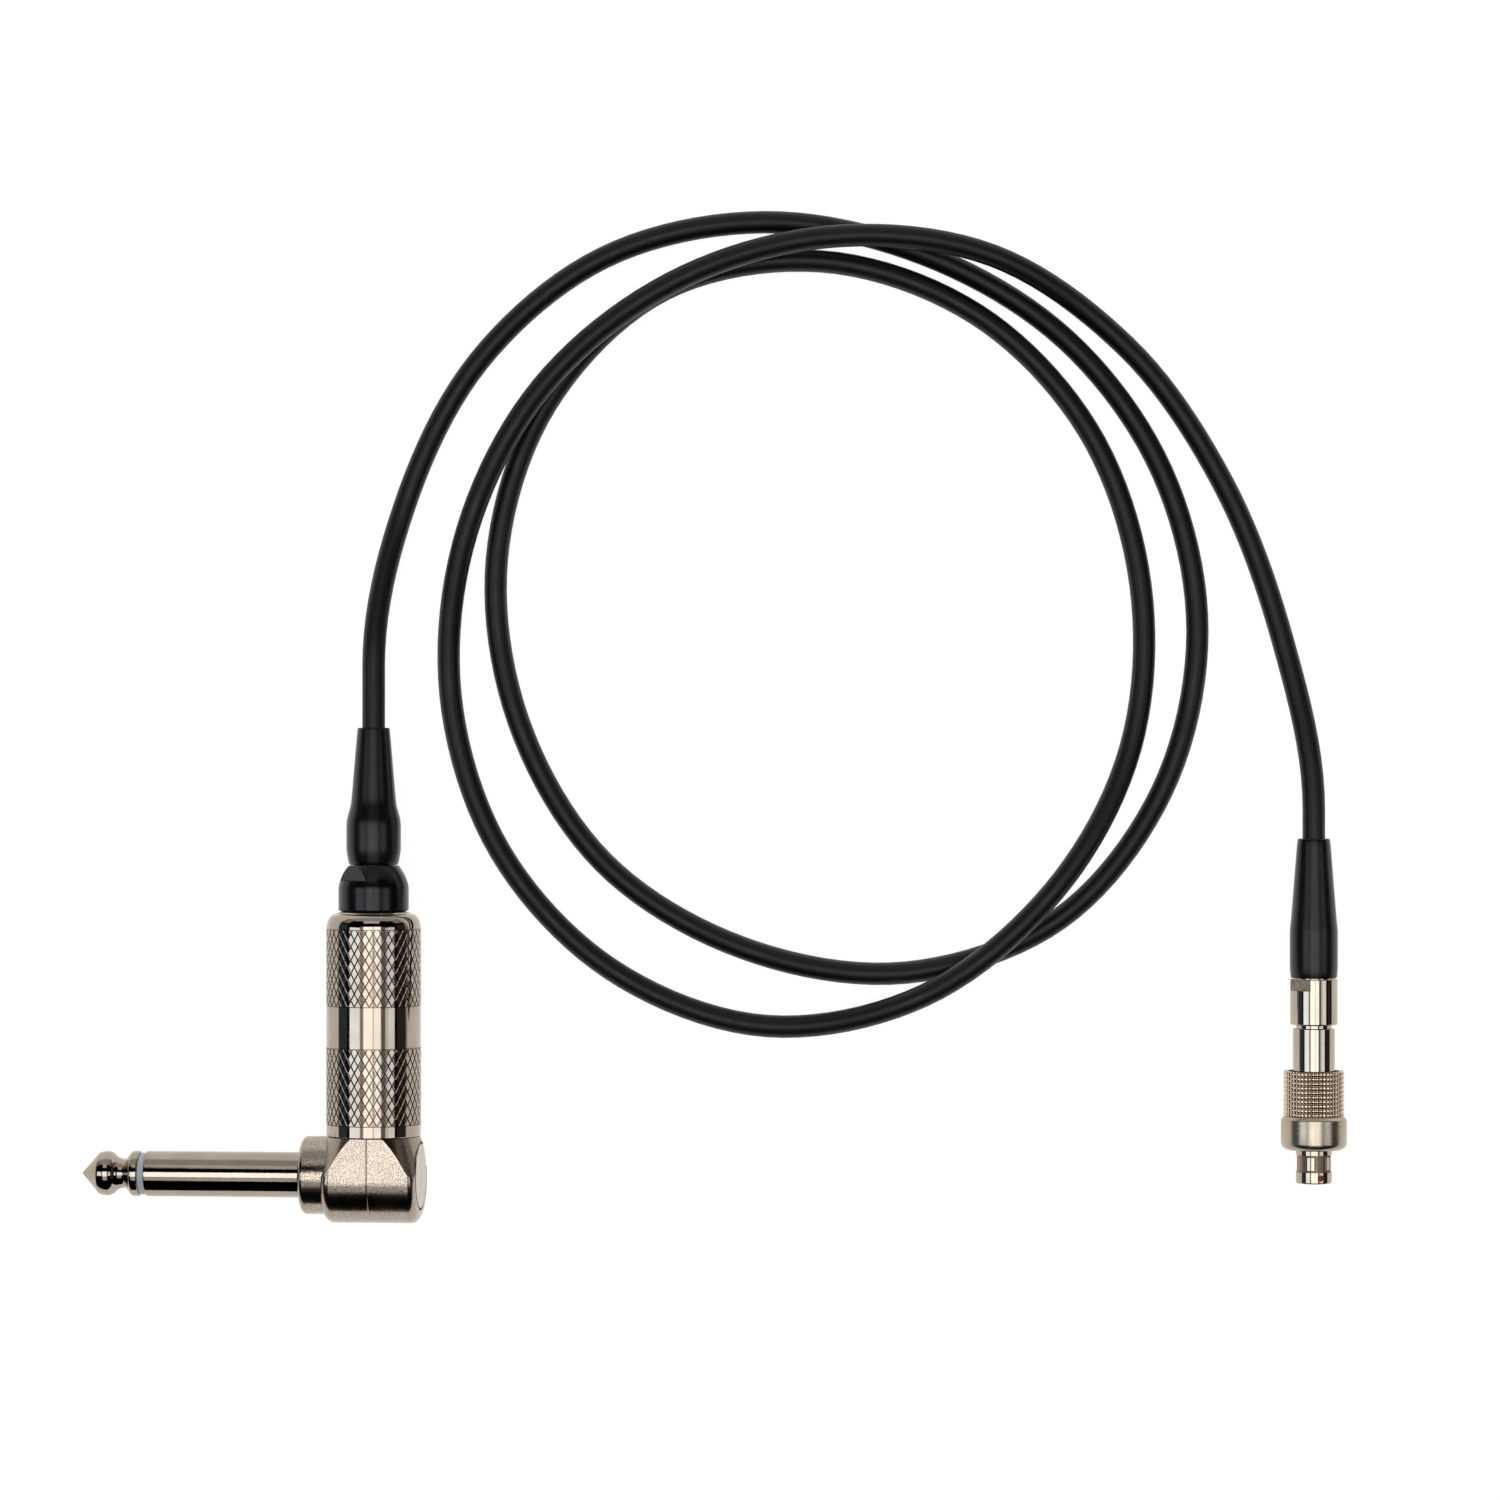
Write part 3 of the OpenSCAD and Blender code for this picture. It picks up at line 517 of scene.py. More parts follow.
def copy_round(cell: bpy.types.Object, number: int, rows: int, pitch: float) -> None:
    """Copies one cell of a knurl along a piece and round it, and stays in edit mode.

    Args:
        cell: The cell, in edit mode.
        number: How many there are round the piece.
        rows: How many there are along it.
        pitch: The step from row to row.
    """
    bpy.ops.object.mode_set(mode="OBJECT")
    apply_modifier(cell, "ARRAY", count=rows, use_relative_offset=False,
                   use_constant_offset=True, constant_offset_displace=(0, pitch, 0))
    bpy.ops.object.mode_set(mode="EDIT")
    bpy.ops.mesh.select_all(action="SELECT")
    turn = 2 * math.pi / number
    bpy.ops.mesh.spin(steps=number - 1, dupli=True, angle=turn * (number - 1),
                      center=(0, 0, 0), axis=(0, 1, 0))


def join(name: str, pieces: Sequence[bpy.types.Object]) -> bpy.types.Object:
    """Joins pieces that were made as one.

    Args:
        name: The name of the whole.
        pieces: What is joined.

    Returns:
        The joined piece.
    """
    take(pieces[0])
    for p in pieces:
        p.select_set(True)
    bpy.ops.object.join()
    obj = bpy.context.object
    obj.name = obj.data.name = name
    return obj


def finish_piece(obj: bpy.types.Object, place: Matrix, finish: Finish, body: str,
                 slot: str, *stands_for: str, smooth: float = 32.0,
                 parts: dict[Finish, Callable[[Vector], bool]] | None = None) -> None:
    """Moves a piece to its place on the table and gives it its finish and its body.

    Args:
        obj: The piece, in millimetres in the frame of its plug.
        place: That frame on the table.
        finish: Its surface.
        body: The body that it moves with.
        slot: The record's material slot; not used.
        *stands_for: The solids that it stands for.
        smooth: Edges sharper than this stay sharp, in degrees.
        parts: Other finishes, each with the test that its faces' centres pass.
    """
    take(obj)
    obj.data.materials.clear()
    obj.data.materials.append(finish.build())
    for number, (other, test) in enumerate((parts or {}).items(), 1):
        obj.data.materials.append(other.build())
        pick_faces(obj, lambda face: test(face.center))
        obj.active_material_index = number
        bpy.ops.object.material_slot_assign()
        bpy.ops.object.mode_set(mode="OBJECT")
    bpy.ops.object.shade_smooth_by_angle(angle=math.radians(smooth))
    pick_faces(obj, lambda face: face.area > FLAT_AREA)
    bpy.ops.mesh.faces_shade_flat()
    bpy.ops.object.mode_set(mode="OBJECT")
    apply_modifier(obj, "WEIGHTED_NORMAL", keep_sharp=True)
    obj.data.transform(Matrix.Scale(METRES_PER_MM, 4) @ place)
    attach(obj, body)
    if stands_for:
        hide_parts(*stands_for)
    log.info("%s: %d faces", obj.name, len(obj.data.polygons))


# ---- The studio ----


@dataclass(frozen=True)
class Lamp:
    """A soft light: its middle, its two sides, and how bright it looks from the table."""

    name: str
    middle: Point3
    across: Point3
    up: Point3
    radiance: float
    tint: str = "#FFFFFF"

    def hang(self) -> None:
        """Hangs the light, facing the table."""
        across, up = Vector(self.across), Vector(self.up)
        data = bpy.data.lights.new(self.name, "AREA")
        data.shape = "RECTANGLE"
        data.size, data.size_y = across.length, up.length
        data.energy = self.radiance * math.pi * across.length * up.length
        data.color = linear(self.tint)[:3]
        x, y = across.normalized(), up.normalized()
        if x.cross(y).dot(Vector(self.middle)) < 0:
            x = -x
        turn = Matrix((x, y, x.cross(y))).transposed().to_4x4()
        obj = bpy.data.objects.new(self.name, data)
        obj.matrix_world = Matrix.Translation(self.middle) @ turn
        obj.visible_camera = False
        bpy.context.scene.collection.objects.link(obj)


@dataclass
class Studio:
    """Camera, floor and lights, in metres: a pale table under soft lights in a dark room."""

    eye: Point3 = (0.0051, 0.0313, 0.65)
    lens: float = 110.69
    sensor: float = 36.0
    near: float = 0.01
    far: float = 50.0
    table: float = 8.0
    table_glow: float = 0.93
    lamps: tuple[Lamp, ...] = (
        Lamp("overhead", (-0.37, -0.015, 2.0), (0.84, 0, 0), (0, 0.87, 0), 2.75),
        Lamp("overhead_right", (0.4265, -0.015, 2.0), (0.653, 0, 0), (0, 0.87, 0), 2.6,
             "#F8FBFF"),
        Lamp("gap_left", (-0.97, -0.015, 2.0), (0.36, 0, 0), (0, 0.87, 0), 0.45),
        Lamp("gap_right", (0.99, -0.015, 2.0), (0.47, 0, 0), (0, 0.87, 0), 0.22),
        Lamp("overhead_front", (0.018, -0.85, 1.9), (1.6, 0, 0), (0, 0.7, 0), 0.78),
        Lamp("left", (-1.324, -0.015, 1.4185), (0, 0.6, 0), (0.632, 0, 0.649), 2.3, "#EDF7FF"),
        Lamp("right_high", (1.13, -0.015, 1.62), (0, 0.6, 0), (-0.169, 0, 0.173), 1.25,
             "#F7FAFF"),
        Lamp("right", (1.42, -0.015, 1.32), (0, 0.6, 0), (-0.41, 0, 0.42), 1.68, "#F7FAFF"),
        Lamp("behind_low", (0.0, 1.85, 0.14), (3.0, 0, 0), (0, 0, 0.26), 0.92, "#FFFBF6"),
        Lamp("behind", (0.0, 1.85, 0.855), (3.0, 0, 0), (0, 0, 1.17), 0.54, "#FFFBF6"),
        Lamp("behind_high", (-0.1, 1.612, 1.8225), (1.5, 0, 0), (0, -0.42, 0.755), 0.86,
             "#FFFDFA"),
        Lamp("corner_left", (-1.95, 1.65, 0.55), (0.7, 0.7, 0), (0, 0, 1.1), 0.4, "#FFF8F2"),
        Lamp("corner_right", (1.95, 1.65, 0.55), (0.7, -0.7, 0), (0, 0, 1.1), 0.4, "#FFF8F2"),
        Lamp("dim_left", (-2.2, 0.0, 0.55), (0, 1.8, 0), (0, 0, 1.1), 0.11, "#B4CCF2"),
        Lamp("dim_right", (2.2, 0.0, 0.55), (0, 1.8, 0), (0, 0, 1.1), 0.045, "#FFE9E0"),
    )

    def camera(self) -> None:
        """Hangs the camera straight above the table."""
        data = bpy.data.cameras.new("camera")
        data.lens = self.lens
        data.sensor_width = self.sensor
        data.clip_start, data.clip_end = self.near, self.far
        obj = bpy.data.objects.new("camera", data)
        obj.location = self.eye
        bpy.context.scene.collection.objects.link(obj)
        bpy.context.scene.camera = obj

    def floor(self) -> None:
        """Lays the pale table top."""
        clear_selection()
        bpy.ops.mesh.primitive_plane_add(size=self.table, location=(0, 0, 0))
        obj = bpy.context.object
        obj.name = "table_top"
        made = bpy.data.materials.new("white_paper")
        made.use_nodes = True
        shader = made.node_tree.nodes["Principled BSDF"]
        shader.inputs["Base Color"].default_value = linear("#8E8D8B")
        shader.inputs["Roughness"].default_value = 0.9
        shader.inputs["Specular IOR Level"].default_value = 0.1
        shader.inputs["Emission Color"].default_value = linear("#FFFDFB")
        shader.inputs["Emission Strength"].default_value = self.table_glow
        obj.data.materials.append(made)

    def build(self) -> None:
        """Sets up the whole studio."""
        self.camera()
        self.floor()
        for lamp in self.lamps:
            lamp.hang()
        world = bpy.data.worlds.new("dark_room")
        bpy.context.scene.world = world
        world.use_nodes = True
        back = world.node_tree.nodes["Background"]
        back.inputs["Color"].default_value = linear("#FBFAF8")
        for ray in ("diffuse", "glossy", "transmission"):
            setattr(world.cycles_visibility, ray, False)
        bpy.context.scene.view_settings.view_transform = "Standard"


# ---- The cable ----


@dataclass
class Cable:
    """The thin cable, laid in two open loops from boot to boot.

    At a point of its route it is at most steepest times as steep as the gentler stretch
    beside that point.
    """

    diameter: float = 3.2
    sides: int = 32
    per_stretch: int = 10
    steepest: float = 3.0
    route: list[Point3] = field(default_factory=lambda: [
        (-47.4, 34.4, 6.6), (-47.4, 43, 6.6), (-43.5, 65.5, 1.6), (-33, 86, 1.6),
        (-15.5, 100.5, 1.6), (7, 105.5, 1.6), (29.5, 101, 1.6), (49.5, 89, 1.6),
        (63, 70.5, 1.6), (68, 48, 1.6), (63, 25.5, 1.6), (48.5, 7.5, 1.6), (27, 0, 1.6),
        (4, 3.5, 1.6), (-15.5, 15.5, 1.6), (-27.5, 35.5, 1.6), (-30.5, 58, 1.6),
        (-23.5, 80, 1.6), (-7, 96, 1.6), (15, 100, 1.6), (37, 92.5, 1.6),
        (52.5, 76.5, 1.6), (60, 54.5, 1.6), (58.5, 31.5, 2.4), (47.5, 11.5, 5.4),
        (29.5, -3, 5.1), (7.5, -7.5, 1.8), (-14.5, 0.5, 1.6), (-30, 17, 1.6),
        (-37, 39, 1.6), (-34.5, 62, 4.4), (-24, 82, 5.6), (-6, 96.5, 5.6), (16, 103, 5.6),
        (39, 100.5, 4.8), (58, 88, 1.6), (71.5, 69, 1.6), (80, 46.5, 2), (84, 23, 4.6),
        (84, 18.9, 4.6)])

    def headings(self, points: Sequence[Vector]) -> list[Vector]:
        """The cable's direction at each point of its route.

        Args:
            points: The route.

        Returns:
            One direction for each point: straight out of a boot, level on a hump.
        """
        last = len(points) - 1
        found = []
        for i in range(last + 1):
            if i <= 1:
                found.append(Vector((0, 1, 0)))
                continue
            if i >= last - 1:
                found.append(Vector((0, -1, 0)))
                continue
            a, b = (points[i] - points[i - 1]).length, (points[i + 1] - points[i]).length
            before, after = (points[i] - points[i - 1]) / a, (points[i + 1] - points[i]) / b
            mean = (before * b + after * a) / (a + b)
            if before.z * after.z <= 0:
                mean.z = 0
            else:
                limit = self.steepest * min(abs(before.z), abs(after.z))
                mean.z = math.copysign(min(abs(mean.z), limit), mean.z)
            found.append(mean)
        return found

    def line(self) -> list[Vector]:
        """The cable's centre line, close enough together to have its length.

        Returns:
            Points in millimetres, from the plug's boot to the connector's.
        """
        p = [Vector(x) for x in self.route]
        t = self.headings(p)
        out = []
        for i in range(len(p) - 1):
            h = (p[i + 1] - p[i]).length
            for k in range(self.per_stretch):
                u = k / self.per_stretch
                out.append(p[i] * (2 * u**3 - 3 * u**2 + 1) + t[i] * h * (u**3 - 2 * u**2 + u)
                           + p[i + 1] * (3 * u**2 - 2 * u**3) + t[i + 1] * h * (u**3 - u**2))
        return out + [p[-1]]

    def build(self) -> None:
        """Makes the cable as a curve with a round section, turned into a tube."""
        line = self.line()
        data = bpy.data.curves.new("cable_jacket", "CURVE")
        data.dimensions = "3D"
        data.bevel_depth = self.diameter / 2
        data.bevel_resolution = self.sides // 4 - 1
        data.use_fill_caps = True
        spline = data.splines.new("POLY")
        spline.points.add(len(line) - 1)
        for point, place in zip(spline.points, line):
            point.co = (*place, 1)
        obj = bpy.data.objects.new("cable_jacket", data)
        bpy.context.scene.collection.objects.link(obj)
        take(obj)
        bpy.ops.object.convert(target="MESH")
        obj = bpy.context.object
        finish_piece(obj, Matrix(), CABLE_JACKET, "cable_and_plugs", "cable_jacket", "cable",
                     smooth=50)
        length = sum((b - a).length for a, b in zip(line, line[1:])) / 1000
        log.info("cable length %.4f m", length)


# ---- The jack plug ----


@dataclass
class Shank:
    """Tip, insulating ring and sleeve of the jack plug."""

    diameter: float = 6.35
    reach: float = 41.3
    tip_length: float = 8.3
    ball: float = 6.25
    ball_at: float = 3.65
    waist: float = 4.1
    ring_width: float = 0.9
    ring_diameter: float = 5.85
    rod: float = 2.0
    bore: float = 4.4
    spigot: float = 6.0
    spigot_at: float = 4.5
    collar_end: float = 9.9

    def tip(self) -> bpy.types.Object:
        """The turned tip: cone, ball, waist and flange.

        Returns:
            The tip with the start of its rod.
        """
        r, ball, rod = self.diameter / 2, self.ball / 2, self.rod / 2
        profile = [(0.0, 0.02)] + arc((0, 0.42), 0.4, -80, -42, 6)
        widest, hollow = self.ball_at - 0.1, self.waist / 2 + 1.647
        profile += arc((ball - 2.6, widest), 2.6, -26, 0, 8)
        profile += arc((ball - 1.6, widest), 1.6, 0, 48, 10)[1:]
        profile += arc((hollow, widest + 2.413), 1.647, 228, 180, 8)
        profile += arc((self.waist / 2 + 0.62, widest + 2.413), 0.62, 180, 140, 5)[1:]
        profile += arc((r - 0.5, self.tip_length - 0.85), 0.5, -62, 0, 8)
        profile += arc((r - 0.22, self.tip_length - 0.24), 0.22, 0, 80, 5)
        profile += [(self.ring_diameter / 2 - 0.35, self.tip_length), (rod, self.tip_length),
                    (rod, self.tip_length + 2), (0, self.tip_length + 2)]
        turned = [(x, self.reach - y) for x, y in profile]
        return lathe("plug_tip", turned, Axis.SHANK, closed=False)

    def ring(self) -> bpy.types.Object:
        """The insulating ring with softened edges.

        Returns:
            The ring.
        """
        a, b = self.reach - self.tip_length, self.reach - self.tip_length - self.ring_width
        r, rod, e = self.ring_diameter / 2, self.rod / 2, 0.08
        return lathe("plug_insulator", [
            (rod, a), (r - e, a), (r, a - e), (r, b + e), (r - e, b), (rod, b)], Axis.SHANK)

    def sleeve(self) -> bpy.types.Object:
        """The sleeve, with its rolled front edge and the relief at the collar.

        Returns:
            The sleeve with the spigot that sits in the elbow.
        """
        r, front = self.diameter / 2, self.reach - self.tip_length - self.ring_width
        bore, spigot, root = self.bore / 2, self.spigot / 2, self.collar_end
        profile = [(bore, self.spigot_at), (spigot, self.spigot_at), (spigot, root + 0.28),
                   (r - 0.04, root + 0.3), (r, root + 0.36)]
        profile += arc((r - 0.16, front - 0.16), 0.16, 0, 90, 5)
        profile += [(bore, front)]
        return lathe("plug_sleeve", profile, Axis.SHANK)

    def build(self, place: Matrix, body: str) -> None:
        """Makes the three pieces and dresses them.

        Args:
            place: The plug's frame on the table.
            body: The body that they move with.
        """
        finish_piece(self.tip(), place, SHANK_NICKEL, body, "turned_nickel", "tip_contact")
        finish_piece(self.ring(), place, PALE_ACETAL, body, "pale_plastic", "tip_insulator")
        finish_piece(self.sleeve(), place, SHANK_NICKEL, body, "turned_nickel", "shank_sleeve")


@dataclass
class Elbow:
    """The cast elbow: flat sides, a round belly, turned shoulders, collar and boss."""

    width: float = 13.4
    thickness: float = 12.2
    seat: float = 5.5
    belly_y: float = -0.5
    rounding: float = 1.4
    cone: float = 6.5
    slope: float = 0.37
    collar: float = 10.9
    collar_end: float = 9.9
    cap: float = 9.5
    cap_thickness: float = 1.6
    boss: float = 11.6
    boss_end: float = 13.0
    pitch: float = 0.75
    thread: float = 0.42
    chamber: float = 9.0
    chamber_floor: float = -4.2
    root_bore: float = 6.02
    cone_from: float = -8.0

    def drawn(self, name: str, section: Sequence[Point]) -> bpy.types.Object:
        """Half a turn about the belly's axis, drawn up to the barrel's seat.

        Args:
            name: The piece's name.
            section: Points of height and of place along the shank.

        Returns:
            The solid that the section sweeps.
        """
        obj = draw(name, [Vector((x, self.belly_y, z)) for z, x in section])
        axis_at = (0, self.belly_y, 0)
        bpy.ops.mesh.spin(steps=64, angle=math.pi, center=axis_at, axis=(1, 0, 0))
        merge_doubles()
        # The spin sweeps towards the barrel, so the half is mirrored to the belly's side.
        bpy.ops.mesh.select_all(action="SELECT")
        bpy.ops.transform.mirror(constraint_axis=(False, True, False), center_override=axis_at)
        pick_edges(obj, lambda c: abs(c.y - self.belly_y) < 1e-3)
        bpy.ops.mesh.extrude_region_move(
            TRANSFORM_OT_translate={"value": (0, self.seat - self.belly_y, 0)})
        pick_edges(obj, lambda c: c.y > self.seat - 1e-3)
        bpy.ops.mesh.fill()
        close_up()
        return obj

    def block(self) -> bpy.types.Object:
        """The cast block, with its rounded edges, before its shoulders are turned."""
        w, t, e = self.width / 2, self.thickness / 2, self.rounding
        return self.drawn("elbow", [(0.0, -w)] + arc((t - e, -w + e), e, -90, 0, 8)
                          + self.parting_line()
                          + arc((t - e, w - e), e, 0, 90, 8) + [(0.0, w)])

    def parting_line(self) -> list[Point]:
        """The fine groove that the two halves of the die leave, in the block's section.

        Returns:
            Its points, drawn wider than the real one so that it shows.
        """
        half = [(0.135, 0.0), (0.095, 0.016), (0.055, 0.055), (0.015, 0.071)]
        t = self.thickness / 2
        return [(t - d, -x) for x, d in half] + [(t - d, x) for x, d in reversed(half)]

    def shoulders(self) -> bpy.types.Object:
        """The cone that the block's shoulders are turned to."""
        low = self.cone_from
        return lathe("shoulders", [
            (0, low), (self.cone + self.slope * (self.seat - low), low),
            (self.cone, self.seat), (0, self.seat)], steps=160, closed=False)

    def collar_piece(self) -> bpy.types.Object:
        """The collar at the root of the shank, with its rounded edge.

        Returns:
            The collar, reaching into the block.
        """
        r, e = self.collar / 2, 0.7
        profile = [(0.0, 2.0), (r, 2.0)] + arc((r - e, self.collar_end - e), e, 0, 90, 8)
        return lathe("collar", profile + [(0.0, self.collar_end)], Axis.SHANK, closed=False)

    def housing(self) -> bpy.types.Object:
        """The whole casting.

        Returns:
            The block with its collar, softened edges, parting line and cap seat.
        """
        obj = self.block()
        cut(obj, self.shoulders(), "INTERSECT")
        cut(obj, self.collar_piece(), "UNION")
        # The tools for the cap's seat, the bore and the chamber reach past the casting.
        rim = self.cap / 2 + 0.05
        seat = lathe("cap_seat", [(0.0, 2.0), (rim, 2.0), (rim, self.width / 2 - 0.1),
                                  (rim + 0.12, self.width / 2 + 0.02),
                                  (rim + 0.12, 9.0), (0.0, 9.0)],
                     Axis.SHANK, closed=False)
        seat.data.transform(Matrix.Rotation(math.pi, 4, "Y"))
        cut(obj, seat)
        r = self.root_bore / 2
        cut(obj, lathe("bore", [(0.0, 2.0), (r, 2.0), (r, 12.0), (0.0, 12.0)], Axis.SHANK,
                       closed=False))
        r, low = self.chamber / 2, self.chamber_floor
        cut(obj, lathe("chamber", [(0.0, low), (r, low), (r, 9.0), (0.0, 9.0)],
                       closed=False))
        apply_modifier(obj, "BEVEL", width=0.14, segments=2, limit_method="ANGLE",
                       angle_limit=math.radians(25), harden_normals=False)
        return obj

    def boss_piece(self) -> bpy.types.Object:
        """The threaded boss, which shows when the barrel is unscrewed.

        Returns:
            The boss, its thread drawn as rings at the thread's pitch.
        """
        pitch, r, root = self.pitch, self.boss / 2, self.boss / 2 - self.thread
        profile = [(self.chamber / 2, self.seat - 1.0), (r - 0.45, self.seat - 1.0),
                   (r - 0.45, self.seat + 0.6)]
        y = self.seat + 0.6
        while y + pitch < self.boss_end - 0.3:
            profile += [(r, y + pitch * 0.4), (r, y + pitch * 0.55), (root, y + pitch)]
            y += pitch
        profile += [(root, self.boss_end), (self.chamber / 2, self.boss_end)]
        return lathe("boss", profile, steps=96)

    def cap_piece(self) -> bpy.types.Object:
        """The round cap pressed into the open end.

        Returns:
            The cap, its outer edge turned with the block's shoulders.
        """
        r, w = self.cap / 2 - 0.06, self.width / 2
        profile = [(0.0, w - self.cap_thickness), (r, w - self.cap_thickness), (r, w - 0.26),
                   (r - 0.26, w), (0.0, w)]
        obj = lathe("end_cap_dressed", profile, Axis.SHANK, closed=False)
        obj.data.transform(Matrix.Rotation(math.pi, 4, "Y"))
        cut(obj, self.shoulders(), "INTERSECT")
        return obj

    def on_cone(self, c: Vector) -> bool:
        """Whether a place is on the shoulders that were turned."""
        cone = self.cone + self.slope * (self.seat - c.y)
        return abs(math.hypot(c.x, c.z) - cone) < 0.06 and c.y > -5

    def in_joint(self, c: Vector) -> bool:
        """Whether a place is on the cap's chamfer, where it meets its seat."""
        return abs(c.x - self.width / 2 + 0.13) < 0.08

    def build(self, place: Matrix, body: str) -> None:
        """Makes the casting, its boss and its cap, and dresses them.

        Args:
            place: The plug's frame on the table.
            body: The body that they move with.
        """
        # The turned shoulders get a darker colour: painted shade on their slopes.
        finish_piece(self.housing(), place, CAST_NICKEL, body, "cast_nickel", "elbow_housing",
                     smooth=40, parts={SHADED_CONE_NICKEL: self.on_cone})
        finish_piece(self.boss_piece(), place, TURNED_NICKEL, body, "cast_nickel",
                     "elbow_housing")
        # The cap's chamfer, where it meets its seat, gets painted shade: a dark line.
        finish_piece(self.cap_piece(), place, CAST_NICKEL, body, "cast_nickel", "end_cap",
                     parts={JOINT_SHADE_NICKEL: self.in_joint})


@dataclass
class Barrel:
    """The knurled barrel with its rounded rear end."""

    diameter: float = 13.2
    mouth: float = 5.5
    mouth_ring: float = 1.8
    band: float = 10.6
    plain: float = 5.9
    nose: float = 2.4
    nose_drop: float = 1.35
    bore: float = 11.7
    spigot: float = 8.0
    inner_end: float = 33.0
    thread_end: float = 16.0
    relief: float = 0.35
    trim: float = 0.04
    diamonds_round: int = 39
    pitch: float = 1.85
    groove: float = 0.095
    depth: float = 0.09
    bands: list[Point] = field(init=False)

    def __post_init__(self) -> None:
        """Works out where the two knurled bands are."""
        first = self.mouth + self.mouth_ring
        second = first + self.band + self.plain
        self.bands = [(first, first + self.band), (second, second + self.band)]

    def body(self) -> bpy.types.Object:
        """The turned barrel, with a low seat under each knurled band.

        Returns:
            The barrel without its knurl.
        """
        r, line = self.diameter / 2, 0.1
        end = self.bands[1][1] + self.nose
        profile = [(self.bore / 2, self.mouth + 0.1), (self.bore / 2 + 0.1, self.mouth),
                   (r - 0.2, self.mouth), (r - 0.04, self.mouth + 0.14),
                   (r, self.mouth + 0.22)]
        for a, b in self.bands:
            low = r - self.depth - 0.03
            profile += [(r, a - line), (r - 0.14, a - line * 0.2), (low, a + 0.02),
                        (low, b - 0.02), (r - 0.14, b + line * 0.2), (r, b + line)]
        top = self.bands[1][1] + line
        profile += [(r - self.nose_drop * (1 - math.cos(math.radians(a))),
                     top + (end - top - 0.25) * math.sin(math.radians(a)))
                    for a in range(10, 91, 8)]
        profile += [(r - self.nose_drop - 0.25, end - 0.05), (r - self.nose_drop - 0.5, end),
                    (self.spigot / 2, end), (self.spigot / 2, self.inner_end),
                    (self.bore / 2 - self.relief, self.inner_end),
                    (self.bore / 2 - self.relief, self.thread_end),
                    (self.bore / 2, self.thread_end)]
        return lathe("barrel_dressed", profile, steps=160)

    def knurl(self, low: float, high: float) -> bpy.types.Object:
        """One knurled band: a diamond modelled once, copied round and along.

        Args:
            low: Where the band starts along the barrel.
            high: Where it ends.

        Returns:
            The band of diamonds, trimmed at both ends.
        """
        n, r = self.diamonds_round, self.diameter / 2
        half = math.pi * (r - self.depth) / n
        clear_selection()
        bpy.ops.mesh.primitive_circle_add(vertices=4, radius=1, fill_type="NGON",
                                          location=(0, 0, 0))
        obj = start("diamond")
        bpy.ops.transform.resize(value=(half, self.pitch / 2, 1))
        bpy.ops.mesh.inset(thickness=self.groove, depth=self.depth)
        bpy.ops.mesh.inset(thickness=0.06, depth=0.006)
        bpy.ops.mesh.select_all(action="SELECT")
        bpy.ops.transform.translate(value=(0, low, r - self.depth))
        bpy.ops.mesh.duplicate_move(TRANSFORM_OT_translate={"value": (0, self.pitch / 2, 0)})
        bpy.ops.transform.rotate(value=math.pi / n, orient_axis="Y", center_override=(0, 0, 0))
        copy_round(obj, n, math.ceil((high - low) / self.pitch) + 1, self.pitch)
        for edge, way in ((low, -1), (high, 1)):
            bpy.ops.mesh.select_all(action="SELECT")
            bpy.ops.mesh.bisect(plane_co=(0, edge - way * self.trim, 0),
                                plane_no=(0, way, 0), clear_outer=True)
        merge_doubles(SAME_PLACE_IN_KNURL)
        bpy.ops.object.mode_set(mode="OBJECT")
        return obj

    def build(self, place: Matrix, body: str) -> None:
        """Makes the barrel with both knurled bands and dresses it.

        Args:
            place: The plug's frame on the table.
            body: The body that it moves with.
        """
        pieces = [self.body()] + [self.knurl(a, b) for a, b in self.bands]
        obj = join("barrel_dressed", pieces)
        finish_piece(obj, place, TURNED_NICKEL, body, "turned_nickel", "barrel", smooth=24)


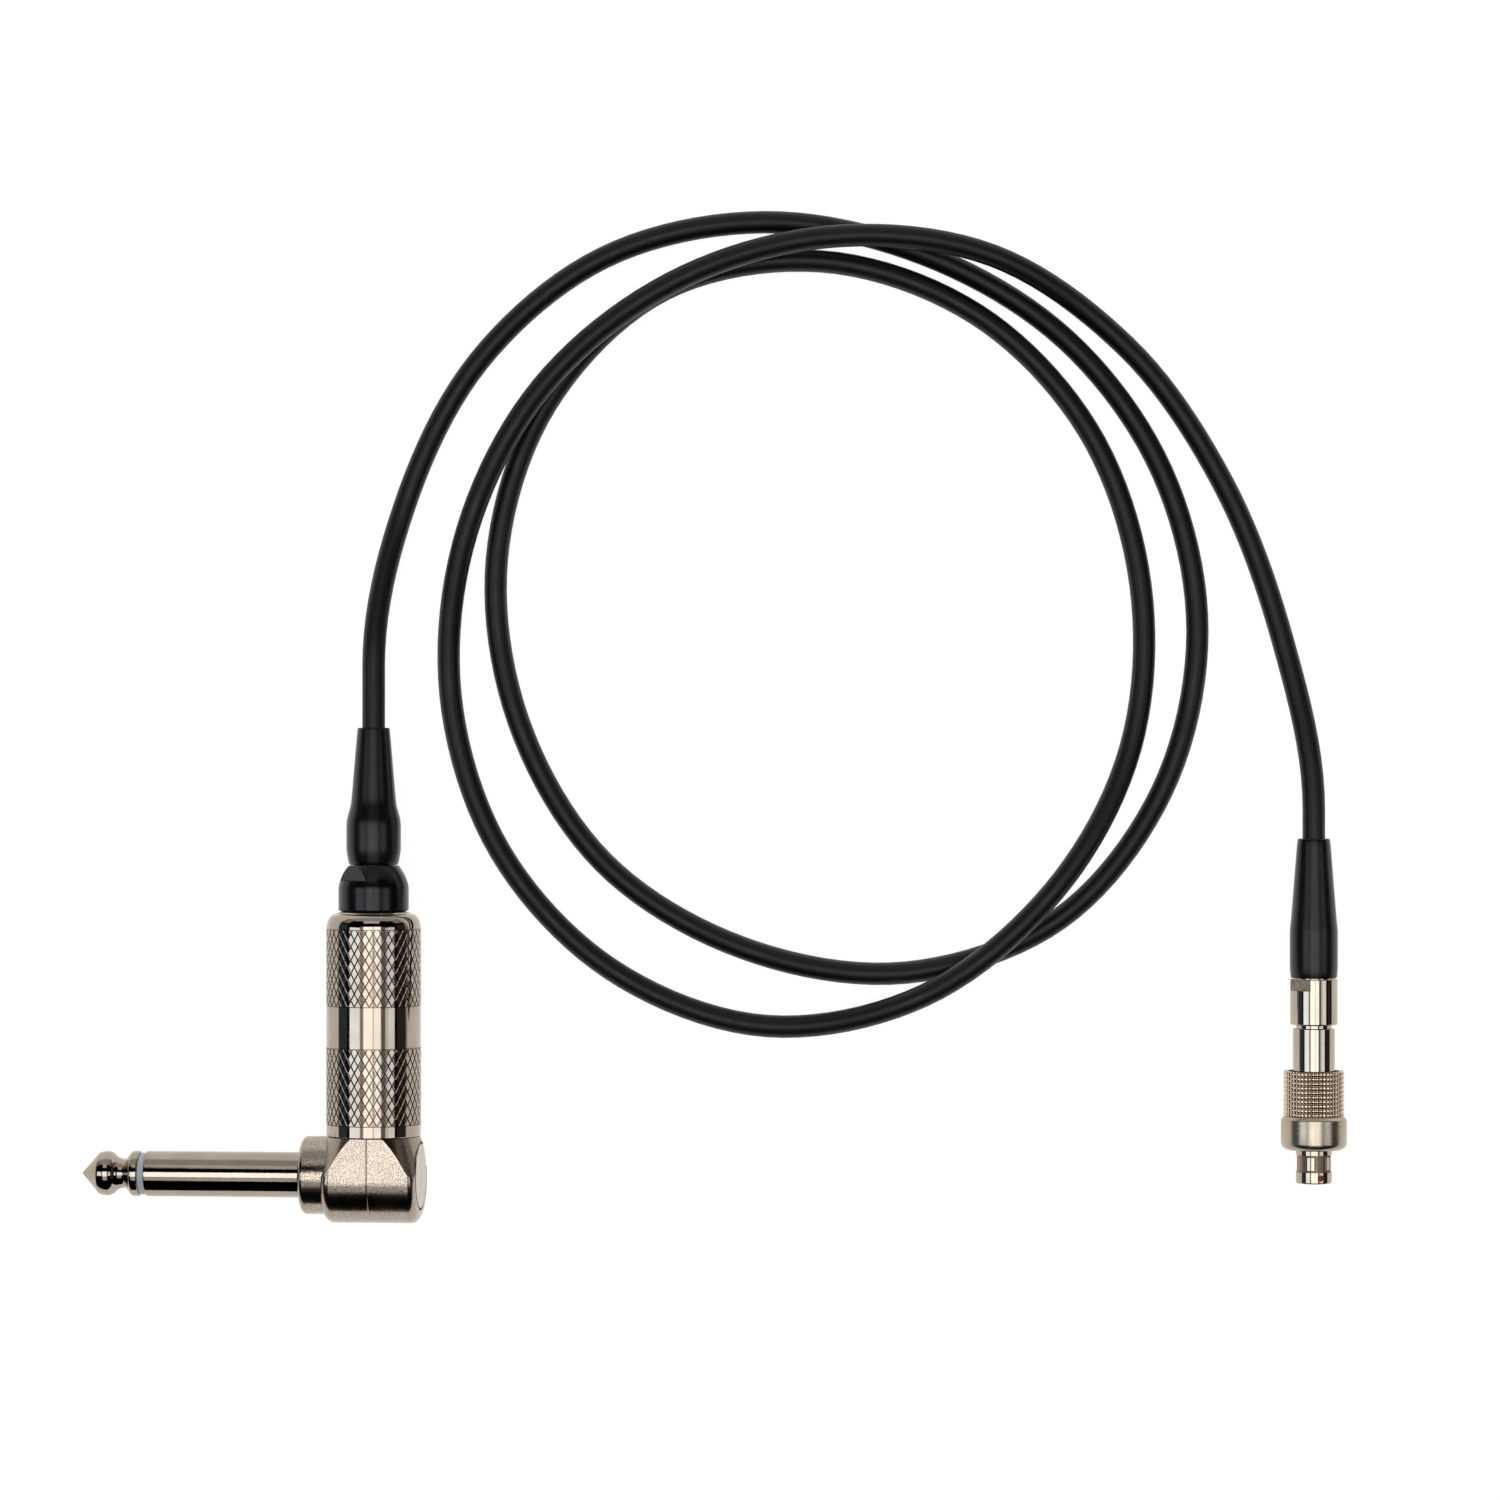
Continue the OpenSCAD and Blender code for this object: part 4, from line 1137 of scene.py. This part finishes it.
@dataclass
class Gland:
    """The black gland nut and the boot behind it."""

    foot: float = 36.95
    diameter: float = 9.8
    rim: float = 3.0
    length: float = 6.3
    tip: float = 7.2
    flats: float = 7.0
    flat_length: float = 2.1
    flats_turned: float = 45.0
    bore: float = 5.5
    bore_end: float = 41.2
    spigot: float = 7.9
    spigot_at: float = 33.0
    nose: float = 5.2
    nose_length: float = 4.0
    cable_bore: float = 3.5
    fullness: float = 1.8
    boot_foot: float = 43.35
    boot_length: float = 19.1

    def nut(self) -> bpy.types.Object:
        """The nut: rim, domed shoulder and two wrench flats.

        Returns:
            The nut with its spigot and nose.
        """
        r, tip, end = self.diameter / 2, self.tip / 2, self.foot + self.length
        bore, spigot, nose = self.bore / 2, self.spigot / 2, self.nose / 2
        dome, n = self.length - self.rim, 14
        profile = [(bore, self.spigot_at), (spigot, self.spigot_at),
                   (spigot, self.foot - 0.15), (r - 0.4, self.foot - 0.1),
                   (r - 0.12, self.foot + 0.02), (r, self.foot + 0.2)]
        profile += [(r - (r - tip) * (i / n) ** self.fullness,
                     self.foot + self.rim + (dome - 0.12) * i / n) for i in range(n + 1)]
        profile += [(tip - 0.12, end), (nose, end), (nose, end + self.nose_length),
                    (self.cable_bore / 2, end + self.nose_length),
                    (self.cable_bore / 2, self.bore_end), (bore, self.bore_end)]
        obj = lathe("gland_nut_dressed", profile, steps=144)
        cut_flats(obj, self.flats_turned, self.flats, end - self.flat_length, end)
        return obj

    def boot(self) -> bpy.types.Object:
        """The moulded boot: foot, bulb, flare and long taper.

        Returns:
            The boot.
        """
        f, e = self.boot_foot, self.boot_foot + self.boot_length
        profile = [(2.65, f), (3.3, f), (3.42, f + 0.12), (3.55, f + 0.6), (3.72, f + 1.5),
                   (3.79, f + 2.2), (3.8, f + 3.2), (3.8, f + 5.2), (3.77, f + 5.9),
                   (3.68, f + 6.5), (3.5, f + 7.2), (3.3, f + 7.9), (3.19, f + 8.4),
                   (3.1, f + 9.1), (3.02, f + 10.0), (2.35, e - 1.2), (2.26, e - 0.3),
                   (2.25, e - 0.12), (2.15, e), (1.7, e), (1.7, f + 4.3), (2.65, f + 4.3)]
        return lathe("plug_boot_dressed", profile, steps=96)

    def build(self, place: Matrix, nut_body: str, boot_body: str) -> None:
        """Makes the nut and the boot and dresses them."""
        finish_piece(self.nut(), place, BLACK_NYLON, nut_body, "black_plastic", "gland_nut")
        finish_piece(self.boot(), place, BOOT_RUBBER, boot_body, "boot_rubber", "plug_boot",
                     smooth=50)


@dataclass
class JackPlug:
    """The right-angle jack plug, seen from its shank to its boot."""

    shank: Shank = field(default_factory=Shank)
    elbow: Elbow = field(default_factory=Elbow)
    barrel: Barrel = field(default_factory=Barrel)
    gland: Gland = field(default_factory=Gland)

    def build(self) -> None:
        """Makes every visible piece of the plug."""
        place = plug_place()
        self.shank.build(place, "cable_and_plugs")
        self.elbow.build(place, "cable_and_plugs")
        self.barrel.build(place, "barrel_and_gland")
        self.gland.build(place, "barrel_and_gland", "boot_and_chuck")


# ---- The small connector ----


@dataclass
class CouplingNut:
    """The coupling nut: a plain rim and a cross-cut knurl."""

    rim: float = 9.2
    rim_at: float = 4.7
    grip_at: float = 9.4
    grip: float = 8.5
    end: float = 15.7
    thread: float = 6.6
    thread_end: float = 6.9
    throat: float = 5.15
    ring_seat: float = 7.2
    ring_seat_at: float = 9.6
    points_round: int = 45
    rows: int = 10
    height: float = 0.2

    def body(self) -> bpy.types.Object:
        """The turned nut, with a low seat under the knurl.

        Returns:
            The nut without its knurl.
        """
        r, g = self.rim / 2, self.grip / 2 - self.height - 0.02
        profile = [(self.thread / 2, self.rim_at + 0.15), (self.thread / 2 + 0.15, self.rim_at)]
        profile += arc((r - 1.0, self.rim_at + 1.0), 1.0, -90, 0, 10)
        profile += [(r, self.grip_at - 0.52), (r - 0.06, self.grip_at - 0.42),
                    (self.grip / 2, self.grip_at - 0.04), (g, self.grip_at),
                    (g, self.end - 0.1), (g - 0.1, self.end), (self.ring_seat / 2, self.end),
                    (self.ring_seat / 2, self.ring_seat_at),
                    (self.throat / 2, self.ring_seat_at), (self.throat / 2, self.thread_end)]
        pitch, y = 0.5, 6.7
        while y - pitch > self.rim_at + 0.3:
            profile += [(self.thread / 2, y), (self.thread / 2 + 0.2, y - pitch / 2)]
            y -= pitch
        return lathe("coupling_nut_dressed", profile, steps=144)

    def knurl(self) -> bpy.types.Object:
        """The knurl: a small pyramid modelled once, copied round and along.

        Returns:
            The band of pyramids.
        """
        n, g = self.points_round, self.grip / 2
        half = math.pi * (g - self.height) / n
        pitch = (self.end - self.grip_at) / self.rows
        clear_selection()
        bpy.ops.mesh.primitive_plane_add(size=2, location=(0, 0, 0))
        obj = start("pyramid")
        bpy.ops.transform.resize(value=(half, pitch / 2, 1))
        bpy.ops.mesh.inset(thickness=0.03, depth=0.01)
        bpy.ops.mesh.inset(thickness=0.13, depth=self.height * 0.85)
        bpy.ops.mesh.select_all(action="SELECT")
        bpy.ops.transform.translate(value=(0, self.grip_at + pitch / 2, g - self.height))
        copy_round(obj, n, self.rows, pitch)
        merge_doubles(SAME_PLACE_IN_KNURL)
        bpy.ops.object.mode_set(mode="OBJECT")
        return obj

    def on_points(self, c: Vector) -> bool:
        """Whether a place is on the knurl's points."""
        return (self.grip_at < c.y < self.end
                and math.hypot(c.x, c.z) > self.grip / 2 - self.height + 0.02)

    def in_valleys(self, c: Vector) -> bool:
        """Whether a place is in the valleys between the points."""
        return (self.grip_at < c.y < self.end
                and abs(math.hypot(c.x, c.z) - self.grip / 2 + self.height) < 0.02)

    def build(self, place: Matrix, body: str) -> None:
        """Makes the nut with its knurl and dresses it."""
        obj = join("coupling_nut_dressed", [self.body(), self.knurl()])
        # The knurl's points are lightened as a painted highlight, and its valleys darkened as
        # painted shade.
        finish_piece(obj, place, SATIN_NICKEL, body, "satin_nickel", "coupling_nut", smooth=60,
                     parts={KNURL_POINTS_PAINTED_HIGHLIGHT: self.on_points,
                            KNURL_VALLEY_PAINTED_SHADE: self.in_valleys})


@dataclass
class Front:
    """The front tube with its latch windows and the red mark."""

    diameter: float = 5.05
    bore: float = 4.05
    band_depth: float = 0.16
    back: float = 19.7
    band_at: float = 1.6
    band_end: float = 4.0
    window_at: float = 1.8
    window_length: float = 2.0
    window_angle: float = 23.0
    window_turn: float = 33.0
    mark_turn: float = 15.5
    mark_at: float = 0.85
    mark: float = 0.9
    slit: float = 6.0
    window_depth: float = 1.7
    recess_at: float = 0.9
    recess_end: float = 5.1
    tongue: float = 2.365
    sleeve: float = 2.2

    def windows(self, grow: float) -> list[bpy.types.Object]:
        """Blocks that cover the four latch windows.

        Args:
            grow: How much wider than the window, in degrees.

        Returns:
            The four blocks.
        """
        half = self.diameter / 2 * math.sin(math.radians((self.window_angle + grow) / 2))
        inset = -grow * 0.02
        made = []
        for side in (0, 180):
            for way in (-1, 1):
                turn = math.radians(self.mark_turn + side + way * self.window_turn)
                made.append(block((-half, self.window_at + inset, self.window_depth),
                                  (half, self.window_at + self.window_length - inset, 4),
                                  Matrix.Rotation(turn, 4, "Y")))
        return made

    def tube(self) -> bpy.types.Object:
        """The tube, with its matt band and its windows.

        Returns:
            The tube.
        """
        r, b = self.diameter / 2, self.bore / 2
        profile = [(b, 0.12), (b + 0.12, 0.0), (r - 0.22, 0.0)]
        profile += arc((r - 0.2, 0.2), 0.2, -80, 0, 5)
        low = r - self.band_depth
        profile += [(r, self.band_at), (low, self.band_at + 0.04),
                    (low, self.band_end - 0.04), (r, self.band_end), (r, 7.2),
                    (r - 0.125, 7.2), (r - 0.125, 8.4), (r, 8.4), (r, self.back),
                    (b, self.back), (b, self.recess_end), (b + 0.18, self.recess_end),
                    (b + 0.18, self.recess_at), (b, self.recess_at)]
        obj = lathe("front_tube_dressed", profile, steps=144)
        for tool in self.windows(self.slit):
            cut(obj, tool)
        hole = lathe("hole", [(0.0, r - 0.15), (self.mark / 2, r - 0.15),
                              (self.mark / 2, r + 1), (0.0, r + 1)], closed=False, steps=48)
        hole.data.transform(Matrix.Rotation(math.radians(90), 4, "X"))
        hole.data.transform(Matrix.Translation((0, self.mark_at, 0)))
        hole.data.transform(Matrix.Rotation(math.radians(self.mark_turn), 4, "Y"))
        cut(obj, hole)
        return obj

    def latch(self) -> bpy.types.Object:
        """The latch sleeve, whose four tongues show in the windows.

        Returns:
            The sleeve.
        """
        low, high = self.window_at + 0.1, self.window_at + self.window_length - 0.1
        tongues = lathe("tongues", [(2.1, low), (self.tongue, low), (self.tongue, high),
                                    (2.1, high)], steps=144)
        cut(tongues, join("windows", self.windows(0.0)), "INTERSECT")
        apply_modifier(tongues, "BEVEL", width=0.03, segments=1, limit_method="ANGLE",
                       angle_limit=math.radians(40))
        b, first, last = self.bore / 2, self.recess_at, self.recess_end
        tube = lathe("latch_sleeve_dressed", [(b, first), (self.sleeve, first),
                                              (self.sleeve, last), (b, last)], steps=96)
        return join("latch_sleeve_dressed", [tube, tongues])

    def under_slits(self, c: Vector) -> bool:
        """Whether a place is on the sleeve's tube, under the slits round its tongues."""
        return math.hypot(c.x, c.z) < self.sleeve + 0.01

    def on_band(self, c: Vector) -> bool:
        """Whether a place is on the matt band."""
        return (self.band_at < c.y < self.band_end
                and math.hypot(c.x, c.z) > self.diameter / 2 - self.band_depth - 0.01)

    def build(self, place: Matrix, body: str) -> None:
        """Makes the tube and its latch sleeve and dresses them."""
        # The sleeve's tube under the slits round its tongues gets painted shade.
        finish_piece(self.latch(), place, POLISHED_NICKEL, body, "polished_nickel",
                     "latch_sleeve", parts={JOINT_SHADE_NICKEL: self.under_slits})
        finish_piece(self.tube(), place, POLISHED_NICKEL, body, "polished_nickel", "front_tube",
                     parts={BLASTED_NICKEL: self.on_band})


@dataclass
class Tail:
    """Shell, collet nut and boot of the small connector."""

    shell: float = 5.9
    shell_at: float = 10.2
    shell_end: float = 21.7
    nut: float = 6.65
    nut_at: float = 22.2
    nut_end: float = 28.6
    flats: float = 5.5
    flat_length: float = 1.65
    flats_turned: float = 49.0
    bore: float = 5.05
    bore_end: float = 19.7
    thread: float = 5.0
    thread_end: float = 24.5
    pitch: float = 0.35
    boot_at: float = 28.7
    boot_end: float = 48.2

    def shell_piece(self) -> bpy.types.Object:
        """The shell and its threaded tail.

        Returns:
            The shell.
        """
        r, bore, crest = self.shell / 2, self.bore / 2, self.thread / 2
        profile = [(bore, self.shell_at), (r - 0.1, self.shell_at), (r, self.shell_at + 0.1),
                   (r, self.shell_end - 0.14), (r - 0.05, self.shell_end - 0.05),
                   (r - 0.14, self.shell_end), (crest, self.shell_end),
                   (crest, self.shell_end + 0.4)]
        y, pitch = self.shell_end + 0.4, self.pitch
        while y + pitch < self.thread_end - 0.1:
            profile += [(2.3, y + pitch / 2), (crest, y + pitch)]
            y += pitch
        profile += [(crest, self.thread_end), (2.1, self.thread_end), (2.1, self.bore_end),
                    (bore, self.bore_end)]
        return lathe("rear_shell_dressed", profile, steps=128)

    def nut_piece(self) -> bpy.types.Object:
        """The collet nut with its two wrench flats.

        Returns:
            The nut.
        """
        r = self.nut / 2
        profile = [(2.55, self.nut_at), (r - 0.16, self.nut_at)]
        profile += arc((r - 0.14, self.nut_at + 0.14), 0.14, -80, 0, 4)
        profile += arc((r - 0.14, self.nut_end - 0.14), 0.14, 0, 80, 4)
        profile += [(r - 0.16, self.nut_end), (2.6, self.nut_end), (2.6, self.nut_end + 3),
                    (1.7, self.nut_end + 3), (1.7, 27.9), (2.35, 27.9), (2.35, 25.0),
                    (2.55, 25.0)]
        obj = lathe("collet_nut_dressed", profile, steps=144)
        cut_flats(obj, self.flats_turned, self.flats, self.nut_end - self.flat_length,
                  self.nut_end)
        return obj

    def boot_piece(self) -> bpy.types.Object:
        """The boot: a short step, a straight body and a long taper.

        Returns:
            The boot.
        """
        a, e = self.boot_at, self.boot_end
        profile = [(2.65, a), (3.1, a), (3.24, a + 0.12), (3.3, a + 0.8), (3.34, a + 1.7),
                   (3.35, a + 3.2), (3.35, a + 6.4), (3.3, a + 7.2), (3.2, a + 8.0),
                   (2.36, e - 1.0), (2.28, e - 0.3), (2.24, e - 0.1), (2.14, e), (1.7, e),
                   (1.7, a + 3.3), (2.65, a + 3.3)]
        return lathe("connector_boot_dressed", profile, steps=96)

    def on_flat(self, c: Vector) -> bool:
        """Whether a place is on one of the two wrench flats.

        Args:
            c: The place, in the connector's frame.

        Returns:
            True on a flat.
        """
        turned = math.radians(self.flats_turned)
        across = abs(c.x * math.sin(turned) - c.z * math.cos(turned))
        return (c.y > self.nut_end - self.flat_length - 0.01
                and abs(across - self.flats / 2) < 0.01)

    def build(self, place: Matrix, shell_body: str, nut_body: str, boot_body: str) -> None:
        """Makes shell, nut and boot and dresses them.

        Args:
            place: The connector's frame on the table.
            shell_body: The body that the shell moves with.
            nut_body: The body that the nut moves with.
            boot_body: The body that the boot moves with.
        """
        finish_piece(self.shell_piece(), place, POLISHED_NICKEL, shell_body, "polished_nickel",
                     "rear_shell")
        finish_piece(self.nut_piece(), place, POLISHED_NICKEL, nut_body, "polished_nickel",
                     "collet_nut", parts={MILLED_NICKEL: self.on_flat})
        finish_piece(self.boot_piece(), place, BOOT_RUBBER, boot_body, "boot_rubber",
                     "connector_boot", smooth=50)


@dataclass
class SmallConnector:
    """The small connector, from its front tube to its boot."""

    front: Front = field(default_factory=Front)
    nut: CouplingNut = field(default_factory=CouplingNut)
    tail: Tail = field(default_factory=Tail)

    def build(self) -> None:
        """Makes every visible piece of the connector."""
        place = small_place()
        self.front.build(place, "cable_and_plugs")
        self.nut.build(place, "coupling_nut_body")
        self.tail.build(place, "cable_and_plugs", "collet_nut_body", "tail_boot_and_collet")


# ---- What stays as it is in the solids ----

CARRIED_OVER: dict[str, Finish] = {
    "rod_bush": BLACK_NYLON, "tip_lug": BARE_BRASS, "ground_lug": BARE_BRASS,
    "lug_liner": BLACK_NYLON, "clamp_chuck": PALE_ACETAL, "plug_lead": CABLE_JACKET,
    "plug_core": WIRE_INSULATION, "plug_screen": COPPER_STRAND,
    "alignment_mark": RED_ENAMEL,
    "pin_insert": CREAM_INSERT, "contact_pins": BARE_BRASS, "slip_ring": BARE_BRASS,
    "collet": BARE_BRASS, "connector_lead": CABLE_JACKET,
    "connector_cores": WIRE_INSULATION,
}


def dress_solids() -> None:
    """Gives the pieces whose solids stay their finishes."""
    for name, finish in CARRIED_OVER.items():
        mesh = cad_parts[name].data
        mesh.materials.clear()
        mesh.materials.append(finish.build())
        log.info("%s: %s", name, finish.name)


def main() -> None:
    """Builds the studio, the cable and both plugs."""
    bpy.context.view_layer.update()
    log.info("studio")
    Studio().build()
    log.info("cable")
    Cable().build()
    log.info("jack plug")
    JackPlug().build()
    log.info("small connector")
    SmallConnector().build()
    dress_solids()


if __name__ == "__main__":
    main()
